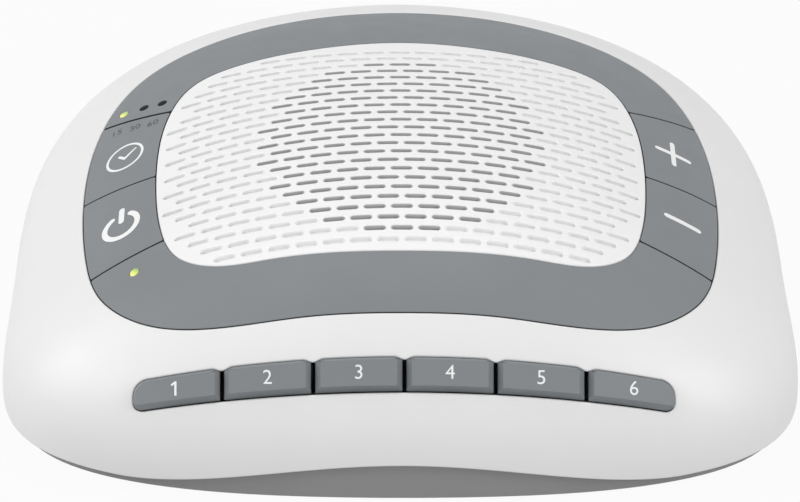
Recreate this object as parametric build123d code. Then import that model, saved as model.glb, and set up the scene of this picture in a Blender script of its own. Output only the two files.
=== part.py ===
from build123d import *
import math
import os

# Table-top white-noise machine, in millimetres.
# The origin is under the middle of the housing, on the surface it stands on.
# +X is the listener's right, +Y the rear and +Z up.

os.makedirs("parts", exist_ok=True)

# ---------------------------------------------------------------- outer form
HALF_WIDTH = 81.0          # widest point of the rim, each side of the middle
HALF_DEPTH = 73.8          # front and rear of the rim from the middle
CROWN_Z = 51.3             # top of the crown above the table
RIM_Z = 4.6                # height at which the sides stand upright
CROWN_TILT = 0.024         # the crown rises this much per millimetre rearward
CROWN_SHIFT = 1.3          # the crown lies this far in front of the middle
PLAN_TAPER = 0.011         # the plan narrows to the rear by this share
PLAN_SQUARENESS = 0.479    # how far the plan fills its corners
PLAN_POWER_DROP = 0.38     # softer corners at the front, tighter ones behind
EDGE_SIDE, EDGE_FRONT, EDGE_REAR = 0.375, 0.476, 0.26   # roundness of the shoulder
FALL_SIDE, FALL_LONG, FALL_REAR, FALL_TWIST = 1.357, 0.565, 0.124, -0.272
SECTION_TURNS = (87, 78, 69, 60, 51, 42, 33, 25, 17, 10, 5, 2)   # level outlines, crown to rim
SECTION_POINTS = 28        # points on each level outline
QUARTER = math.pi / 2
CROWN_PATCH_X = 57.0       # the grille's patch of the form, each side
CROWN_PATCH_Y = (-54.0, 36.0)
CROWN_GRID = 9
TALL = 70.0                # clears the crown

# ---------------------------------------------------------------- housings
WALL = 2.2                 # upper housing wall
EDGE_Z = 3.6               # lower edge of the upper housing, sides and rear
ARCH_Z = 9.85              # lower edge at the middle of the front
ARCH_HALF_SPAN = 56.0      # the front arch meets the plain edge here
ARCH_FULLNESS = 0.8        # below 1 the arch is fuller at its top
BASE_Z = 1.0               # underside of the lower housing
BASE_INSET = 2.5           # the lower housing stands inside the upper one
BASE_WALL = 2.0
BASE_FLOOR = 2.0
BASE_TOP_Z = 13.0

# ---------------------------------------------------------------- control ring
# Right halves of the plan outlines, from the rear middle to the front middle.
RING_OUTER = [(0, 46.9), (22, 44.8), (40.5, 38.9), (54.5, 29.8), (62.6, 14.5), (65.4, -9.0),
              (63.9, -31.0), (60.0, -45.0), (51.0, -54.2), (38.5, -58.3), (20, -59.1), (0, -59.2)]
RING_INNER = [(0, 27.5), (18, 26.1), (34, 23.4), (43, 19.4), (48.2, 9.5), (50.1, -4.0),
              (50.0, -19.0), (48.4, -32.5), (45.0, -41.0), (38.1, -45.7), (26.1, -46.9), (0, -47.3)]
# Seams between the keys of the ring on the right side, outer end then inner end.
SEAM_REAR = ((62.3, 15.2), (48.0, 10.8))
SEAM_MIDDLE = ((65.2, -10.4), (50.5, -12.1))
SEAM_FRONT = ((62.5, -37.8), (48.1, -35.0))
RING_GAP = 0.15            # ring to housing, and ring to grille
SEAM_GAP = 0.3             # between keys, and between a key and the ring
RING_SKIN = 2.4
RING_DEPTH = 4.6           # skin and walls of the fixed arcs
RING_FLOOR_TOP = 4.0       # the keys sink above this floor
RING_FLOOR_DEPTH = 6.6
RING_LIP_TOP = 2.35        # lip under the housing and under the grille
RING_LIP_BOTTOM = 4.0
RING_LIP_OUT = 1.2
RING_LIP_IN = 1.4
RING_WALL = 1.6

# ---------------------------------------------------------------- ring keys
KEY_SKIN = 2.2
KEY_GAP = 0.3              # ring key to the housing and to the grille
KEY_STEM_R = 2.5
STEM_CLEARANCE = 0.4
TIMER_KEY_AT = (-57.2, -0.4)
POWER_KEY_AT = (-57.0, -25.0)

# ---------------------------------------------------------------- key boards
BOARD = 1.6                # thickness of every circuit board
RING_BOARD_TOP = 24.0
MAT_SHEET = 1.0            # silicone key mat
DOME_R = 3.0
DOME_HEIGHT = 3.2
DOME_TOP_R = 1.9
SEAT = 0.05                # stem to dome

# ---------------------------------------------------------------- grille
GRILLE_SKIN = 2.2
GRILLE_MID_Y = -12.5       # middle of the slot pattern and of the speaker
SLOT_PITCH = 5.44
SLOT_LENGTH = 4.4
SLOT_WIDTH = 1.2
ROW_PITCH = 2.912
SLOT_ROWS_REAR = 12        # rows behind the middle row
SLOT_ROWS_FRONT = 11
SLOT_BORDER = 0.5          # plain border of the grille
OPEN_R = 31.0              # inside this radius the slots go right through
BLIND_DEPTH = 0.7
COLLAR_WALL = 1.7

# ---------------------------------------------------------------- speaker
SPEAKER_TOP = 41.0
SPEAKER_R = 33.0
SPEAKER_FLANGE = 1.2
CONE_R = 28.5
CONE_SINK = 0.4
CONE_SHEET = 0.7
CONE_DEPTH = 7.5
DUST_CAP_R = 8.5
BASKET_R = 15.0
BASKET_DEPTH = 12.0
BASKET_SHEET = 1.0
MAGNET_R = 16.0
MAGNET_HEIGHT = 7.5
SPEAKER_EAR_R = 34.6
EAR_R = 3.2
SCREW_R = 1.3

# ---------------------------------------------------------------- sound keys
ROW_AT = (0.0, -67.2, 27.67)    # middle of the key row on the front
ROW_RISE = 32.0                # the keys point this many degrees above level
ROW_RADIUS = 300.0
ROW_PITCH_X = 17.95
ROW_HALF_LENGTH = 53.6
CAP_WIDTH = 6.75
CAP_GAP = 0.8                  # between two caps
CAP_SIDE_GAP = 0.25            # cap to the slot in the housing
CAP_PROUD = 1.2
CAP_BEVEL_FRONT, CAP_BEVEL_SIDE = 1.3, 1.1      # widths seen from the front
CAP_BEVEL_REAR = 0.4
BEVEL_FALL_FRONT, BEVEL_FALL_SIDE = 32.0, 40.0  # degrees from the cap's top
CAP_END_R_REAR, CAP_END_R_FRONT = 4.2, 2.0      # outer corners of the two end caps
CAP_FLANGE = 0.9
CAP_FLANGE_THICK = 1.2
CAP_COUNT = 6
SOUND_DOME_TOP = 15.2          # behind the row's plane
SOUND_STEM_R = 2.0
SOUND_BOARD_POSTS = [(-58.5, 0), (58.5, 0), (-27, -8.6), (27, -8.6)]   # x, and height over the row

# ---------------------------------------------------------------- power supply
CELL_R = 7.1                   # AA cell
CELL_LENGTH = 50.0
CELL_PITCH = 14.8
CELL_COUNT = 4
CELL_MID_Y = -4.0
BOX_WALL = 1.5
BOX_END = 4.2                  # room for a contact at each end of a cell
COVER = 1.8
COVER_GAP = 0.35
CONTACT_PAD = 5.0
SPRING_R, SPRING_TIP_R, SPRING_SHEET = 5.0, 3.5, 0.9
GROOVE_COUNT = 4               # thumb grooves of the battery cover
GROOVE_LENGTH, GROOVE_WIDTH, GROOVE_DEPTH = 16.0, 1.0, 0.6
GROOVE_PITCH, GROOVE_FROM_EDGE = 2.4, 4.0
MAIN_BOARD_TOP = 13.2
JACK_AT_X = 22.0
JACK_Z = 18.2
JACK_HOLE_R = 4.2
JACK_FACE_Y = 66.4
JACK_DEPTH = 9.0               # of the well
JACK_LENGTH = 13.5
JACK_BODY = 9.0
JACK_WELL_R = 2.9
JACK_PIN_R = 1.0

# ---------------------------------------------------------------- small pieces
FOOT_R = 5.0
FOOT_THICK = 1.6
FEET_AT = [(56, 46), (60, -55)]
BOSS_R = 3.4
BOSSES_AT = [(61, 36.5), (66, -45)]
SCREW_HEAD_R = 2.6
SCREW_HEAD = 1.6
LENS_R = 1.0
LENS_PROUD = 0.15
LENS_HOLE = 0.08
TIMER_LENSES_AT = [(-58.1, 17.4), (-53.8, 16.5), (-49.9, 15.6)]
POWER_LENS_AT = (-53.6, -41.1)


# ================================================================ outer form
def form_point(across, along):
    """Point of the outer form for a place in the unit circle."""
    rho = math.hypot(across, along)
    if rho < 1e-9:
        return Vector(0, -CROWN_SHIFT, CROWN_Z)
    cos, sin = across / rho, along / rho
    power = 2 - PLAN_POWER_DROP * along * rho**2
    reach = (abs(cos) ** power + abs(sin) ** power) ** (-1 / power)
    fill = 1 - PLAN_TAPER * along * reach + PLAN_SQUARENESS * (along * reach) ** 2
    x = HALF_WIDTH * across * reach * fill
    y = HALF_DEPTH * along * reach - CROWN_SHIFT * (1 - rho**2)
    fall = (FALL_SIDE * across**2 + FALL_LONG * along**2
            + FALL_REAR * along**3 + FALL_TWIST * across**2 * along)
    rim_fall = FALL_SIDE * cos**2 + FALL_LONG * sin**2 + FALL_REAR * sin**3 + FALL_TWIST * cos**2 * sin
    left = max(1 - fall - (1 - rim_fall) * rho**4, 0)
    edge = (EDGE_SIDE + (EDGE_REAR - EDGE_FRONT) / 2 * along
            + ((EDGE_REAR + EDGE_FRONT) / 2 - EDGE_SIDE) * along**2)
    crown = CROWN_Z + CROWN_TILT * (y + CROWN_SHIFT)
    return Vector(x, y, RIM_Z + (crown - RIM_Z) * left**edge)


def dome_point(turn, angle):
    """Point of the form, turned by this much from the crown to the rim, in one direction."""
    rho = math.sin(turn)
    return form_point(rho * math.cos(angle), rho * math.sin(angle))


def inset_point(turn, angle, inset):
    """The same point moved inward along the normal of the form."""
    nudge = 1e-4
    around = dome_point(turn, angle + nudge) - dome_point(turn, angle - nudge)
    if turn > QUARTER - 2 * nudge:
        normal = Vector(around.Y, -around.X, 0).normalized()
    else:
        outward = dome_point(turn + nudge, angle) - dome_point(turn - nudge, angle)
        normal = outward.cross(around).normalized()
    return dome_point(turn, angle) - normal * inset


def level_point(share, angle, inset):
    """Where the inset form passes a share of the crown's height in one direction."""
    slope = CROWN_TILT * share
    level = RIM_Z + (CROWN_Z - RIM_Z - inset) * share
    low, high = 1e-4, QUARTER - 1e-4
    for _ in range(28):
        middle = (low + high) / 2
        point = inset_point(middle, angle, inset)
        if point.Z > level + slope * (point.Y + CROWN_SHIFT):
            low = middle
        else:
            high = middle
    return Vector(point.X, point.Y, level + slope * (point.Y + CROWN_SHIFT))


def loop(points):
    """Closed smooth wire through a list of points, all evenly spaced along its parameter."""
    places = [i / len(points) for i in range(len(points) + 1)]
    return Wire([Edge.make_spline(points, periodic=True, parameters=places)])


CORES = {}


def core(inset):
    """The form shrunk by an inset, as a solid standing on z = 0."""
    if inset not in CORES:
        angles = [2 * math.pi * (i + 0.5) / SECTION_POINTS for i in range(SECTION_POINTS)]
        rim = [inset_point(QUARTER, angle, inset) for angle in angles]
        shares = [math.sin(math.radians(turn)) ** 0.75 for turn in SECTION_TURNS]
        sections = [loop([level_point(share, angle, inset) for angle in angles]) for share in shares]
        sections += [loop([Vector(point.X, point.Y, z) for point in rim]) for z in (RIM_Z, 0)]
        CORES[inset] = Solid.make_loft(sections)
    return CORES[inset]


def crown_block(inset):
    """The crown alone under a light patch of the inset form, for the finely slotted grille."""
    front, rear = CROWN_PATCH_Y
    points = []
    for i in range(CROWN_GRID):
        x = CROWN_PATCH_X * (2 * i / (CROWN_GRID - 1) - 1)
        places = [front + (rear - front) * j / (CROWN_GRID - 1) for j in range(CROWN_GRID)]
        planes = [surface_plane(x, y) for y in places]
        points.append([plane.origin - plane.z_dir * inset for plane in planes])
    patch = Face.make_surface_from_array_of_points(points, tol=0.01, min_deg=3, max_deg=5)
    under = block((-CROWN_PATCH_X + 3, CROWN_PATCH_X - 3), (front + 3, rear - 3), (RING_BOARD_TOP, TALL))
    return min(under.split(patch, keep=Keep.ALL), key=lambda piece: piece.center().Z)


def unit_place(x, y):
    """Place in the unit circle of a plan point."""
    across, along = x / HALF_WIDTH, y / HALF_DEPTH
    for _ in range(25):
        point = form_point(across, along)
        across += 0.9 * (x - point.X) / HALF_WIDTH
        along += 0.9 * (y - point.Y) / HALF_DEPTH
        rho = math.hypot(across, along)
        if rho > 0.9999:
            across, along = across / rho * 0.9999, along / rho * 0.9999
    return across, along


def top_at(x, y):
    """Height of the form over a plan point."""
    return form_point(*unit_place(x, y)).Z


def surface_plane(x, y, step=0.5):
    """Plane touching the form over a plan point, its X axis running along world X."""
    slope_x = (top_at(x + step, y) - top_at(x - step, y)) / (2 * step)
    slope_y = (top_at(x, y + step) - top_at(x, y - step)) / (2 * step)
    return Plane(origin=(x, y, top_at(x, y)), x_dir=(1, 0, slope_x), z_dir=(-slope_x, -slope_y, 1))


# ================================================================ helpers
def outline(right_half, grow=0.0):
    """Closed smooth plan face through a right half and its mirror, moved outward by grow."""
    points = list(right_half) + [(-x, y) for x, y in reversed(right_half[1:-1])]
    moved = []
    for i, (x, y) in enumerate(points):
        before, after = points[i - 1], points[(i + 1) % len(points)]
        tangent = Vector(after[0] - before[0], after[1] - before[1]).normalized()
        moved.append((x - tangent.Y * grow, y + tangent.X * grow))
    return make_face(Wire([Spline(*moved, periodic=True)]))


def column(plan, low=0.0, high=TALL):
    """A plan face raised to an upright solid between two heights."""
    return extrude(Pos(0, 0, low) * plan, amount=high - low)


def layer(plan, top, bottom):
    """The part of a column between two insets of the form."""
    return (column(plan) & core(top)) - core(bottom)


def post(x, y, radius, low, high):
    """An upright round post between two heights."""
    return Pos(x, y, low) * Cylinder(radius, high - low, align=(Align.CENTER, Align.CENTER, Align.MIN))


def block(x_range, y_range, z_range):
    """A box between two limits each way."""
    sizes = [high - low for low, high in (x_range, y_range, z_range)]
    middle = [(high + low) / 2 for low, high in (x_range, y_range, z_range)]
    return Pos(*middle) * Box(*sizes)


def mirrored(right):
    """The same places on the left and on the right."""
    return [(side * x, y) for x, y in right for side in (-1, 1)]


def save(shape, node):
    """Write a node as one STEP file."""
    shape.label = node
    export_step(shape, f"parts/{node}.step")


def zone(rear_seam, front_seam, side, spread=0.0):
    """Plan face between two seams of one side of the ring, widened along the ring by spread."""
    reach = 8.0
    corners = []
    for (outer, inner), way in ((rear_seam, 1), (front_seam, -1)):
        outer, inner = Vector(*outer), Vector(*inner)
        along = (outer - inner).normalized()
        across = Vector(-along.Y, along.X) * way * spread
        corners.append((outer + along * reach + across, inner - along * reach + across))
    (a, b), (c, d) = corners
    return make_face(Polyline(*[(side * p.X, p.Y) for p in (a, b, d, c)], close=True))


# ================================================================ housings
def arch_height(x):
    """Height of the lower edge at the front."""
    lift = (1 + math.cos(math.pi * x / ARCH_HALF_SPAN)) / 2
    return EDGE_Z + (ARCH_Z - EDGE_Z) * lift**ARCH_FULLNESS


def edge_cutter():
    """Everything under the lower edge of the upper housing, which arches at the front."""
    step = ARCH_HALF_SPAN / 7
    tops = [(i * step, arch_height(i * step)) for i in range(-7, 8)]
    arch = Spline(*tops, tangents=[(1, 0), (1, 0)])
    under = Polyline(tops[-1], (100, EDGE_Z), (100, -1), (-100, -1), (-100, EDGE_Z), tops[0])
    front = extrude(Plane.XZ.offset(10) * make_face(arch + under), amount=100)
    return front + block((-100, 100), (-10, 100), (-1, EDGE_Z))


def upper_housing():
    shell = core(0) - core(WALL)
    shell -= edge_cutter()
    shell -= column(outline(RING_OUTER))
    shell -= row_band(CAP_WIDTH / 2 + CAP_SIDE_GAP, ROW_HALF_LENGTH + CAP_SIDE_GAP, -12, 12)
    shell -= rearward(JACK_HOLE_R, JACK_FACE_Y - 4, HALF_DEPTH + 5)
    for x, drop in SOUND_BOARD_POSTS:
        at = row_plane(sound_board_depth()) * Pos(x, row_height(x) + drop)
        shell += extrude(at * Circle(2.2), amount=40) & core(WALL / 2)
    for x, y in mirrored(BOSSES_AT):
        boss = post(x, y, BOSS_R, BASE_Z + BASE_FLOOR + 2, TALL) & core(WALL / 2)
        boss -= post(x, y, SCREW_R, 0, BASE_Z + BASE_FLOOR + 14)
        shell += boss
    return shell


def lower_housing():
    tray = core(BASE_INSET) - core(BASE_INSET + BASE_WALL)
    floor = core(BASE_INSET) & block((-100, 100), (-100, 100), (BASE_Z, BASE_Z + BASE_FLOOR))
    tray = (tray & block((-100, 100), (-100, 100), (BASE_Z, BASE_TOP_Z))) + floor
    tray += block(*battery_box(BOX_WALL), (BASE_Z, battery_top() + BOX_WALL))
    tray -= block(*battery_box(0), (0, battery_top()))
    tray -= block(*cover_plan(COVER_GAP), (0, BASE_Z + COVER + COVER_GAP))
    for x, y in mirrored(BOSSES_AT):
        tray += post(x, y, BOSS_R, BASE_Z, BASE_Z + BASE_FLOOR + 1.7)
        tray -= post(x, y, SCREW_R + 0.3, 0, 10)
        tray -= post(x, y, SCREW_HEAD_R + 0.3, 0, BASE_Z + SCREW_HEAD + 0.3)
    for x, y in mirrored(FEET_AT):
        tray -= post(x, y, FOOT_R, 0, FOOT_THICK)
    for x, y in main_board_posts():
        tray += post(x, y, 2.5, BASE_Z, MAIN_BOARD_TOP - BOARD)
    return tray


# ================================================================ ring and its keys
def ring_zones(spread):
    return [zone(SEAM_REAR, SEAM_FRONT, side, spread) for side in (-1, 1)]


def control_ring():
    band = outline(RING_OUTER, -RING_GAP) - outline(RING_INNER, RING_GAP)
    body = layer(band, 0, RING_DEPTH)
    for sector in ring_zones(SEAM_GAP / 2 + RING_WALL):
        body += layer(band & sector, RING_FLOOR_TOP, RING_FLOOR_DEPTH)
    body += layer(outline(RING_OUTER, RING_LIP_OUT) - outline(RING_INNER, -RING_LIP_IN),
                  RING_LIP_TOP, RING_LIP_BOTTOM)
    well = outline(RING_OUTER, KEY_GAP) - outline(RING_INNER, -KEY_GAP)
    for sector in ring_zones(SEAM_GAP / 2):
        body -= column(well & sector) - core(RING_FLOOR_TOP)
    hollow = outline(RING_OUTER, -RING_WALL) - outline(RING_INNER, RING_WALL)
    for sector in ring_zones(SEAM_GAP / 2 + RING_WALL):
        hollow -= sector
    body -= column(hollow) & core(RING_SKIN)
    for x, y in ring_key_places():
        body -= post(x, y, KEY_STEM_R + STEM_CLEARANCE, 0, TALL)
    for x, y in TIMER_LENSES_AT + [POWER_LENS_AT]:
        body -= post(x, y, LENS_R + LENS_HOLE, 0, TALL)
    for x, y in ring_board_posts():
        body += post(x, y, 2.2, RING_BOARD_TOP, TALL) & core(RING_SKIN - 0.5)
    return body


def ring_key_places():
    places = [TIMER_KEY_AT, POWER_KEY_AT]
    return places + [(-x, y) for x, y in places]


def ring_key(rear_seam, front_seam, place):
    side = math.copysign(1, place[0])
    plan = outline(RING_OUTER, -KEY_GAP) - outline(RING_INNER, KEY_GAP)
    plan = plan & zone(rear_seam, front_seam, side, -SEAM_GAP / 2)
    key = layer(plan, 0, KEY_SKIN)
    x, y = place
    bottom = RING_BOARD_TOP + MAT_SHEET + DOME_HEIGHT + SEAT
    key += post(x, y, KEY_STEM_R, bottom, TALL) & core(KEY_SKIN - 0.5)
    return key


# ================================================================ grille
def inside(x, y):
    """Whether a plan point lies on the grille, which bulges past the straight lines between its points."""
    right_half = [(px * 1.008, py + 0.4 * math.copysign(1, py)) for px, py in RING_INNER]
    points = right_half + [(-px, py) for px, py in reversed(right_half[1:-1])]
    hit = False
    for i, (x1, y1) in enumerate(points):
        x0, y0 = points[i - 1]
        if (y0 > y) != (y1 > y) and x < (x1 - x0) * (y - y0) / (y1 - y0) + x0:
            hit = not hit
    return hit


def clear_of_border(x, y):
    """Whether a slot at a place stays on the plain field inside the border."""
    half_x, half_y = SLOT_LENGTH / 2 + SLOT_BORDER, SLOT_WIDTH / 2 + SLOT_BORDER
    corners = [(x + dx, y + dy) for dx in (-half_x, half_x) for dy in (-half_y, half_y)]
    return all(inside(corner_x, corner_y) for corner_x, corner_y in corners)


def slot_places():
    places = []
    for row in range(-SLOT_ROWS_FRONT, SLOT_ROWS_REAR + 1):
        y = GRILLE_MID_Y + row * ROW_PITCH
        shift = 0.5 if row % 2 else 0.0
        count = int(HALF_WIDTH / SLOT_PITCH)
        for column_number in range(-count, count + 1):
            x = (column_number + shift) * SLOT_PITCH
            if clear_of_border(x, y):
                places.append((x, y))
    return places


def speaker_grille():
    plate = (column(outline(RING_INNER, -RING_GAP)) & crown_block(0)) - crown_block(GRILLE_SKIN)
    collar = Circle(OPEN_R + 0.3 + COLLAR_WALL) - Circle(OPEN_R + 0.3)
    plate += column(Pos(0, GRILLE_MID_Y) * collar, SPEAKER_TOP, TALL) & core(GRILLE_SKIN - 0.5)
    for x, y in speaker_ears():
        plate += post(x, y, EAR_R, SPEAKER_TOP, TALL) & core(GRILLE_SKIN - 0.5)
        plate -= post(x, y, SCREW_R, 0, SPEAKER_TOP + 2.5)
    slots = []
    for x, y in slot_places():
        if math.hypot(abs(x) + SLOT_LENGTH / 2, y - GRILLE_MID_Y) < OPEN_R:
            slots.append(block((x - SLOT_LENGTH / 2, x + SLOT_LENGTH / 2),
                               (y - SLOT_WIDTH / 2, y + SLOT_WIDTH / 2), (SPEAKER_TOP, TALL)))
        else:
            slots.append(surface_plane(x, y).location * Box(SLOT_LENGTH, SLOT_WIDTH, 2 * BLIND_DEPTH))
    return plate.cut(*slots)


# ================================================================ speaker
def speaker_ears():
    return [(SPEAKER_EAR_R * math.cos(a), GRILLE_MID_Y + SPEAKER_EAR_R * math.sin(a))
            for a in (math.radians(45 + 90 * i) for i in range(4))]


def spin(points):
    """Solid of revolution about the speaker's axis from a closed (radius, height) outline."""
    profile = make_face(Polyline(*[(r, 0, z) for r, z in points], close=True))
    return Pos(0, GRILLE_MID_Y, 0) * revolve(profile, Axis.Z)


def speaker_frame():
    top, low = SPEAKER_TOP, SPEAKER_TOP - SPEAKER_FLANGE
    floor = top - BASKET_DEPTH
    ledge = top - CONE_SINK - CONE_SHEET
    frame = spin([(CONE_R + 1.2, top), (SPEAKER_R, top), (SPEAKER_R, low), (CONE_R + 1.0, low),
                  (BASKET_R + 1, floor), (7, floor), (7, floor + BASKET_SHEET),
                  (BASKET_R, floor + BASKET_SHEET), (CONE_R - 0.5, low), (CONE_R - 0.5, ledge),
                  (CONE_R + 1.2, ledge)])
    for i, (x, y) in enumerate(speaker_ears()):
        frame += post(x, y, EAR_R, low, top) - post(x, y, SCREW_R + 0.3, 0, TALL)
        angle = 90 * i
        window = Pos(0, GRILLE_MID_Y, (low + floor) / 2) * Rot(0, 0, angle) * Pos(BASKET_R + 7, 0, 0)
        frame -= window * Box(11, 15, BASKET_DEPTH - 5)
    return frame


def speaker_magnet():
    floor = SPEAKER_TOP - BASKET_DEPTH
    low = floor - MAGNET_HEIGHT
    return spin([(0, floor), (MAGNET_R, floor), (MAGNET_R, low), (0, low)])


def speaker_cone():
    """Surround, cone and dust cap as one thin sheet."""
    top, low = SPEAKER_TOP - CONE_SINK, SPEAKER_TOP - CONE_SINK - CONE_DEPTH
    upper = [(CONE_R + 1.0, top), (CONE_R - 2.4, top), (CONE_R - 4.0, top - 1.0),
             (DUST_CAP_R, low), (0, low + 3.2)]
    under = [(r, z - CONE_SHEET) for r, z in reversed(upper)]
    return spin(upper + under)


# ================================================================ sound keys
def row_plane(depth=0.0):
    """Plane across the sliding axis of the sound keys, depth millimetres in from the front."""
    rise = math.radians(ROW_RISE)
    out = Vector(0, -math.cos(rise), math.sin(rise))
    return Plane(origin=Vector(*ROW_AT) - out * depth, x_dir=(1, 0, 0), z_dir=out)


def row_face(half_width, x_low, x_high, depth, end_r=0.0):
    """Piece of the curved key row between two x limits, on a plane across the keys."""
    ring = Pos(0, -ROW_RADIUS) * (Circle(ROW_RADIUS + half_width) - Circle(ROW_RADIUS - half_width))
    strip = Pos((x_low + x_high) / 2, 0) * Rectangle(x_high - x_low, 60)
    return row_plane(depth) * (ring & strip)


def row_band(half_width, half_length, depth_low, depth_high):
    """Solid of the whole key row, with rounded ends, between two depths."""
    band = extrude(row_face(half_width, -half_length, half_length, depth_high), amount=depth_high - depth_low)
    for edge_x in (-half_length, half_length):
        band = round_end(band, edge_x, half_width - CAP_WIDTH / 2)
    return band


def round_end(body, edge_x, grow):
    """Rounds the rear and the front corner of one end of the row."""
    along = row_plane().z_dir
    ends = [e for e in body.edges() if abs(e.center().X - edge_x) < 0.05
            and abs(abs((e @ 1 - e @ 0).normalized().dot(along)) - 1) < 1e-3]
    rear, front = sorted(ends, key=lambda e: row_plane().to_local_coords(e.center()).Y, reverse=True)
    body = fillet(rear, CAP_END_R_REAR + grow)
    front = min(body.edges(), key=lambda e: (e.center() - front.center()).length)
    return fillet(front, CAP_END_R_FRONT + grow)


def row_height(x):
    """Local height in the row plane of the row's middle line."""
    return math.sqrt(ROW_RADIUS**2 - x * x) - ROW_RADIUS


def cap_limits(number):
    low = (number - CAP_COUNT / 2) * ROW_PITCH_X + CAP_GAP / 2
    high = low + ROW_PITCH_X - CAP_GAP
    if number == 0:
        low = -ROW_HALF_LENGTH
    if number == CAP_COUNT - 1:
        high = ROW_HALF_LENGTH
    return low, high


def skin_depth(x):
    """How far behind the row's plane the housing surface lies at the middle line of the row."""
    near, far = -4.0, 16.0
    middle = row_height(x)
    for _ in range(30):
        depth = (near + far) / 2
        point = row_plane(depth).from_local_coords((x, middle, 0))
        if top_at(point.X, point.Y) > point.Z:
            far = depth
        else:
            near = depth
    return (near + far) / 2


def bevelled(cap, top_plane, low, high):
    """The cap with a narrow bevel all round its top, and broad ones in front and between the caps."""
    cap = chamfer(cap.faces().sort_by_distance(top_plane.origin)[0].edges(), CAP_BEVEL_REAR)
    half_length = (high - low) / 2
    lean = math.atan(-(low + high) / 2 / ROW_RADIUS)
    cuts = [((0, -1), BEVEL_FALL_FRONT, CAP_WIDTH / 2 - CAP_BEVEL_FRONT)]
    if low > -ROW_HALF_LENGTH:
        cuts.append(((-1, 0), BEVEL_FALL_SIDE, half_length - CAP_BEVEL_SIDE))
    if high < ROW_HALF_LENGTH:
        cuts.append(((1, 0), BEVEL_FALL_SIDE, half_length - CAP_BEVEL_SIDE))
    for (way_x, way_y), fall, reach in cuts:
        tilt = math.sin(math.radians(fall))
        turn = lean if way_y else 0
        away = Vector(way_x * tilt - way_y * tilt * math.sin(turn), way_y * tilt * math.cos(turn),
                      math.cos(math.radians(fall)))
        start = top_plane.from_local_coords(Vector(way_x * reach, way_y * reach, 0))
        out = top_plane.from_local_coords(away) - top_plane.origin
        cap = cap.split(Plane(origin=start, z_dir=out), keep=Keep.BOTTOM)
    return cap


def sound_key(number):
    low, high = cap_limits(number)
    middle = (low + high) / 2
    deepest = max(skin_depth(low), skin_depth(high))
    flange_top = deepest + WALL + 0.8
    foot = flange_top + CAP_FLANGE_THICK
    cap = extrude(row_face(CAP_WIDTH / 2, low, high, flange_top), amount=flange_top + 8)
    slope = (skin_depth(high) - skin_depth(low)) / (high - low)
    turn = math.atan(slope)
    face_middle = row_plane(skin_depth(middle) - CAP_PROUD).from_local_coords((middle, row_height(middle), 0))
    top_plane = Plane(origin=face_middle, x_dir=row_plane().x_dir, z_dir=row_plane().z_dir)
    top_plane = top_plane.rotated((0, math.degrees(turn), 0))
    cap = cap.split(top_plane, keep=Keep.BOTTOM)
    if number in (0, CAP_COUNT - 1):
        cap = round_end(cap, low if number == 0 else high, 0)
    cap = bevelled(cap, top_plane, low, high)
    flange = row_face(CAP_WIDTH / 2 + CAP_FLANGE, low, high, foot)
    cap += extrude(flange, amount=CAP_FLANGE_THICK)
    stem_base = row_plane(SOUND_DOME_TOP - SEAT) * Pos(middle, row_height(middle)) * Circle(SOUND_STEM_R)
    cap += extrude(stem_base, amount=SOUND_DOME_TOP - foot)
    return cap


# ================================================================ power supply
def battery_box(wall):
    half_x = CELL_LENGTH / 2 + BOX_END + wall
    half_y = CELL_PITCH * CELL_COUNT / 2 + 0.4 + wall
    return (-half_x, half_x), (CELL_MID_Y - half_y, CELL_MID_Y + half_y)


def battery_top():
    return BASE_Z + COVER + 0.4 + 2 * CELL_R + 0.3


def cover_plan(gap):
    (x_low, x_high), (y_low, y_high) = battery_box(0.6)
    return (x_low - gap, x_high + gap), (y_low - gap, y_high + gap)


def battery_cover():
    cover = block(*cover_plan(0), (BASE_Z, BASE_Z + COVER))
    for number in range(GROOVE_COUNT):
        y = cover_plan(0)[1][1] - GROOVE_FROM_EDGE - number * GROOVE_PITCH
        groove_x = (-GROOVE_LENGTH / 2, GROOVE_LENGTH / 2)
        cover -= block(groove_x, (y - GROOVE_WIDTH, y), (0, BASE_Z + GROOVE_DEPTH))
    return cover


def cell_y(number):
    return CELL_MID_Y + (number - (CELL_COUNT - 1) / 2) * CELL_PITCH


def batteries():
    cells = []
    z = BASE_Z + COVER + 0.4 + CELL_R
    for number in range(CELL_COUNT):
        way = 1 if number % 2 else -1
        can = Cylinder(CELL_R, CELL_LENGTH - 1.5, rotation=(0, 90, 0))
        nub = Pos(way * (CELL_LENGTH - 1.5) / 2, 0, 0) * Cylinder(2.6, 2.4, rotation=(0, 90, 0))
        cells.append(Pos(0, cell_y(number), z) * (can + nub))
    return Compound(children=cells)


def main_board_posts():
    return [(-32, 38), (32, 38), (-32, 55), (32, 55)]


def main_board():
    return block((-36, 36), (34, 59), (MAIN_BOARD_TOP - BOARD, MAIN_BOARD_TOP))


def power_inlet():
    half = JACK_BODY / 2
    body = block((JACK_AT_X - half, JACK_AT_X + half), (JACK_FACE_Y - JACK_LENGTH, JACK_FACE_Y),
                 (MAIN_BOARD_TOP, JACK_Z + half))
    bore = rearward(JACK_WELL_R, JACK_FACE_Y - JACK_DEPTH, JACK_FACE_Y + 1)
    pin = rearward(JACK_PIN_R, JACK_FACE_Y - JACK_DEPTH - 0.5, JACK_FACE_Y - 1)
    return body - bore + pin


def rearward(radius, near, far):
    """Round bar along Y about the axis of the power inlet."""
    bar = Cylinder(radius, far - near, rotation=(90, 0, 0))
    return Pos(JACK_AT_X, (near + far) / 2, JACK_Z) * bar


# ================================================================ boards and mats
def ring_board_posts():
    places = [(-56.0, 21.5), (-56.0, -46.0)]
    return places + [(-x, y) for x, y in places]


def ring_board(side):
    z = (RING_BOARD_TOP - BOARD, RING_BOARD_TOP)
    return block(sorted((side * 47, side * 60.5)), (-48.5, 24), z)


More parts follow.
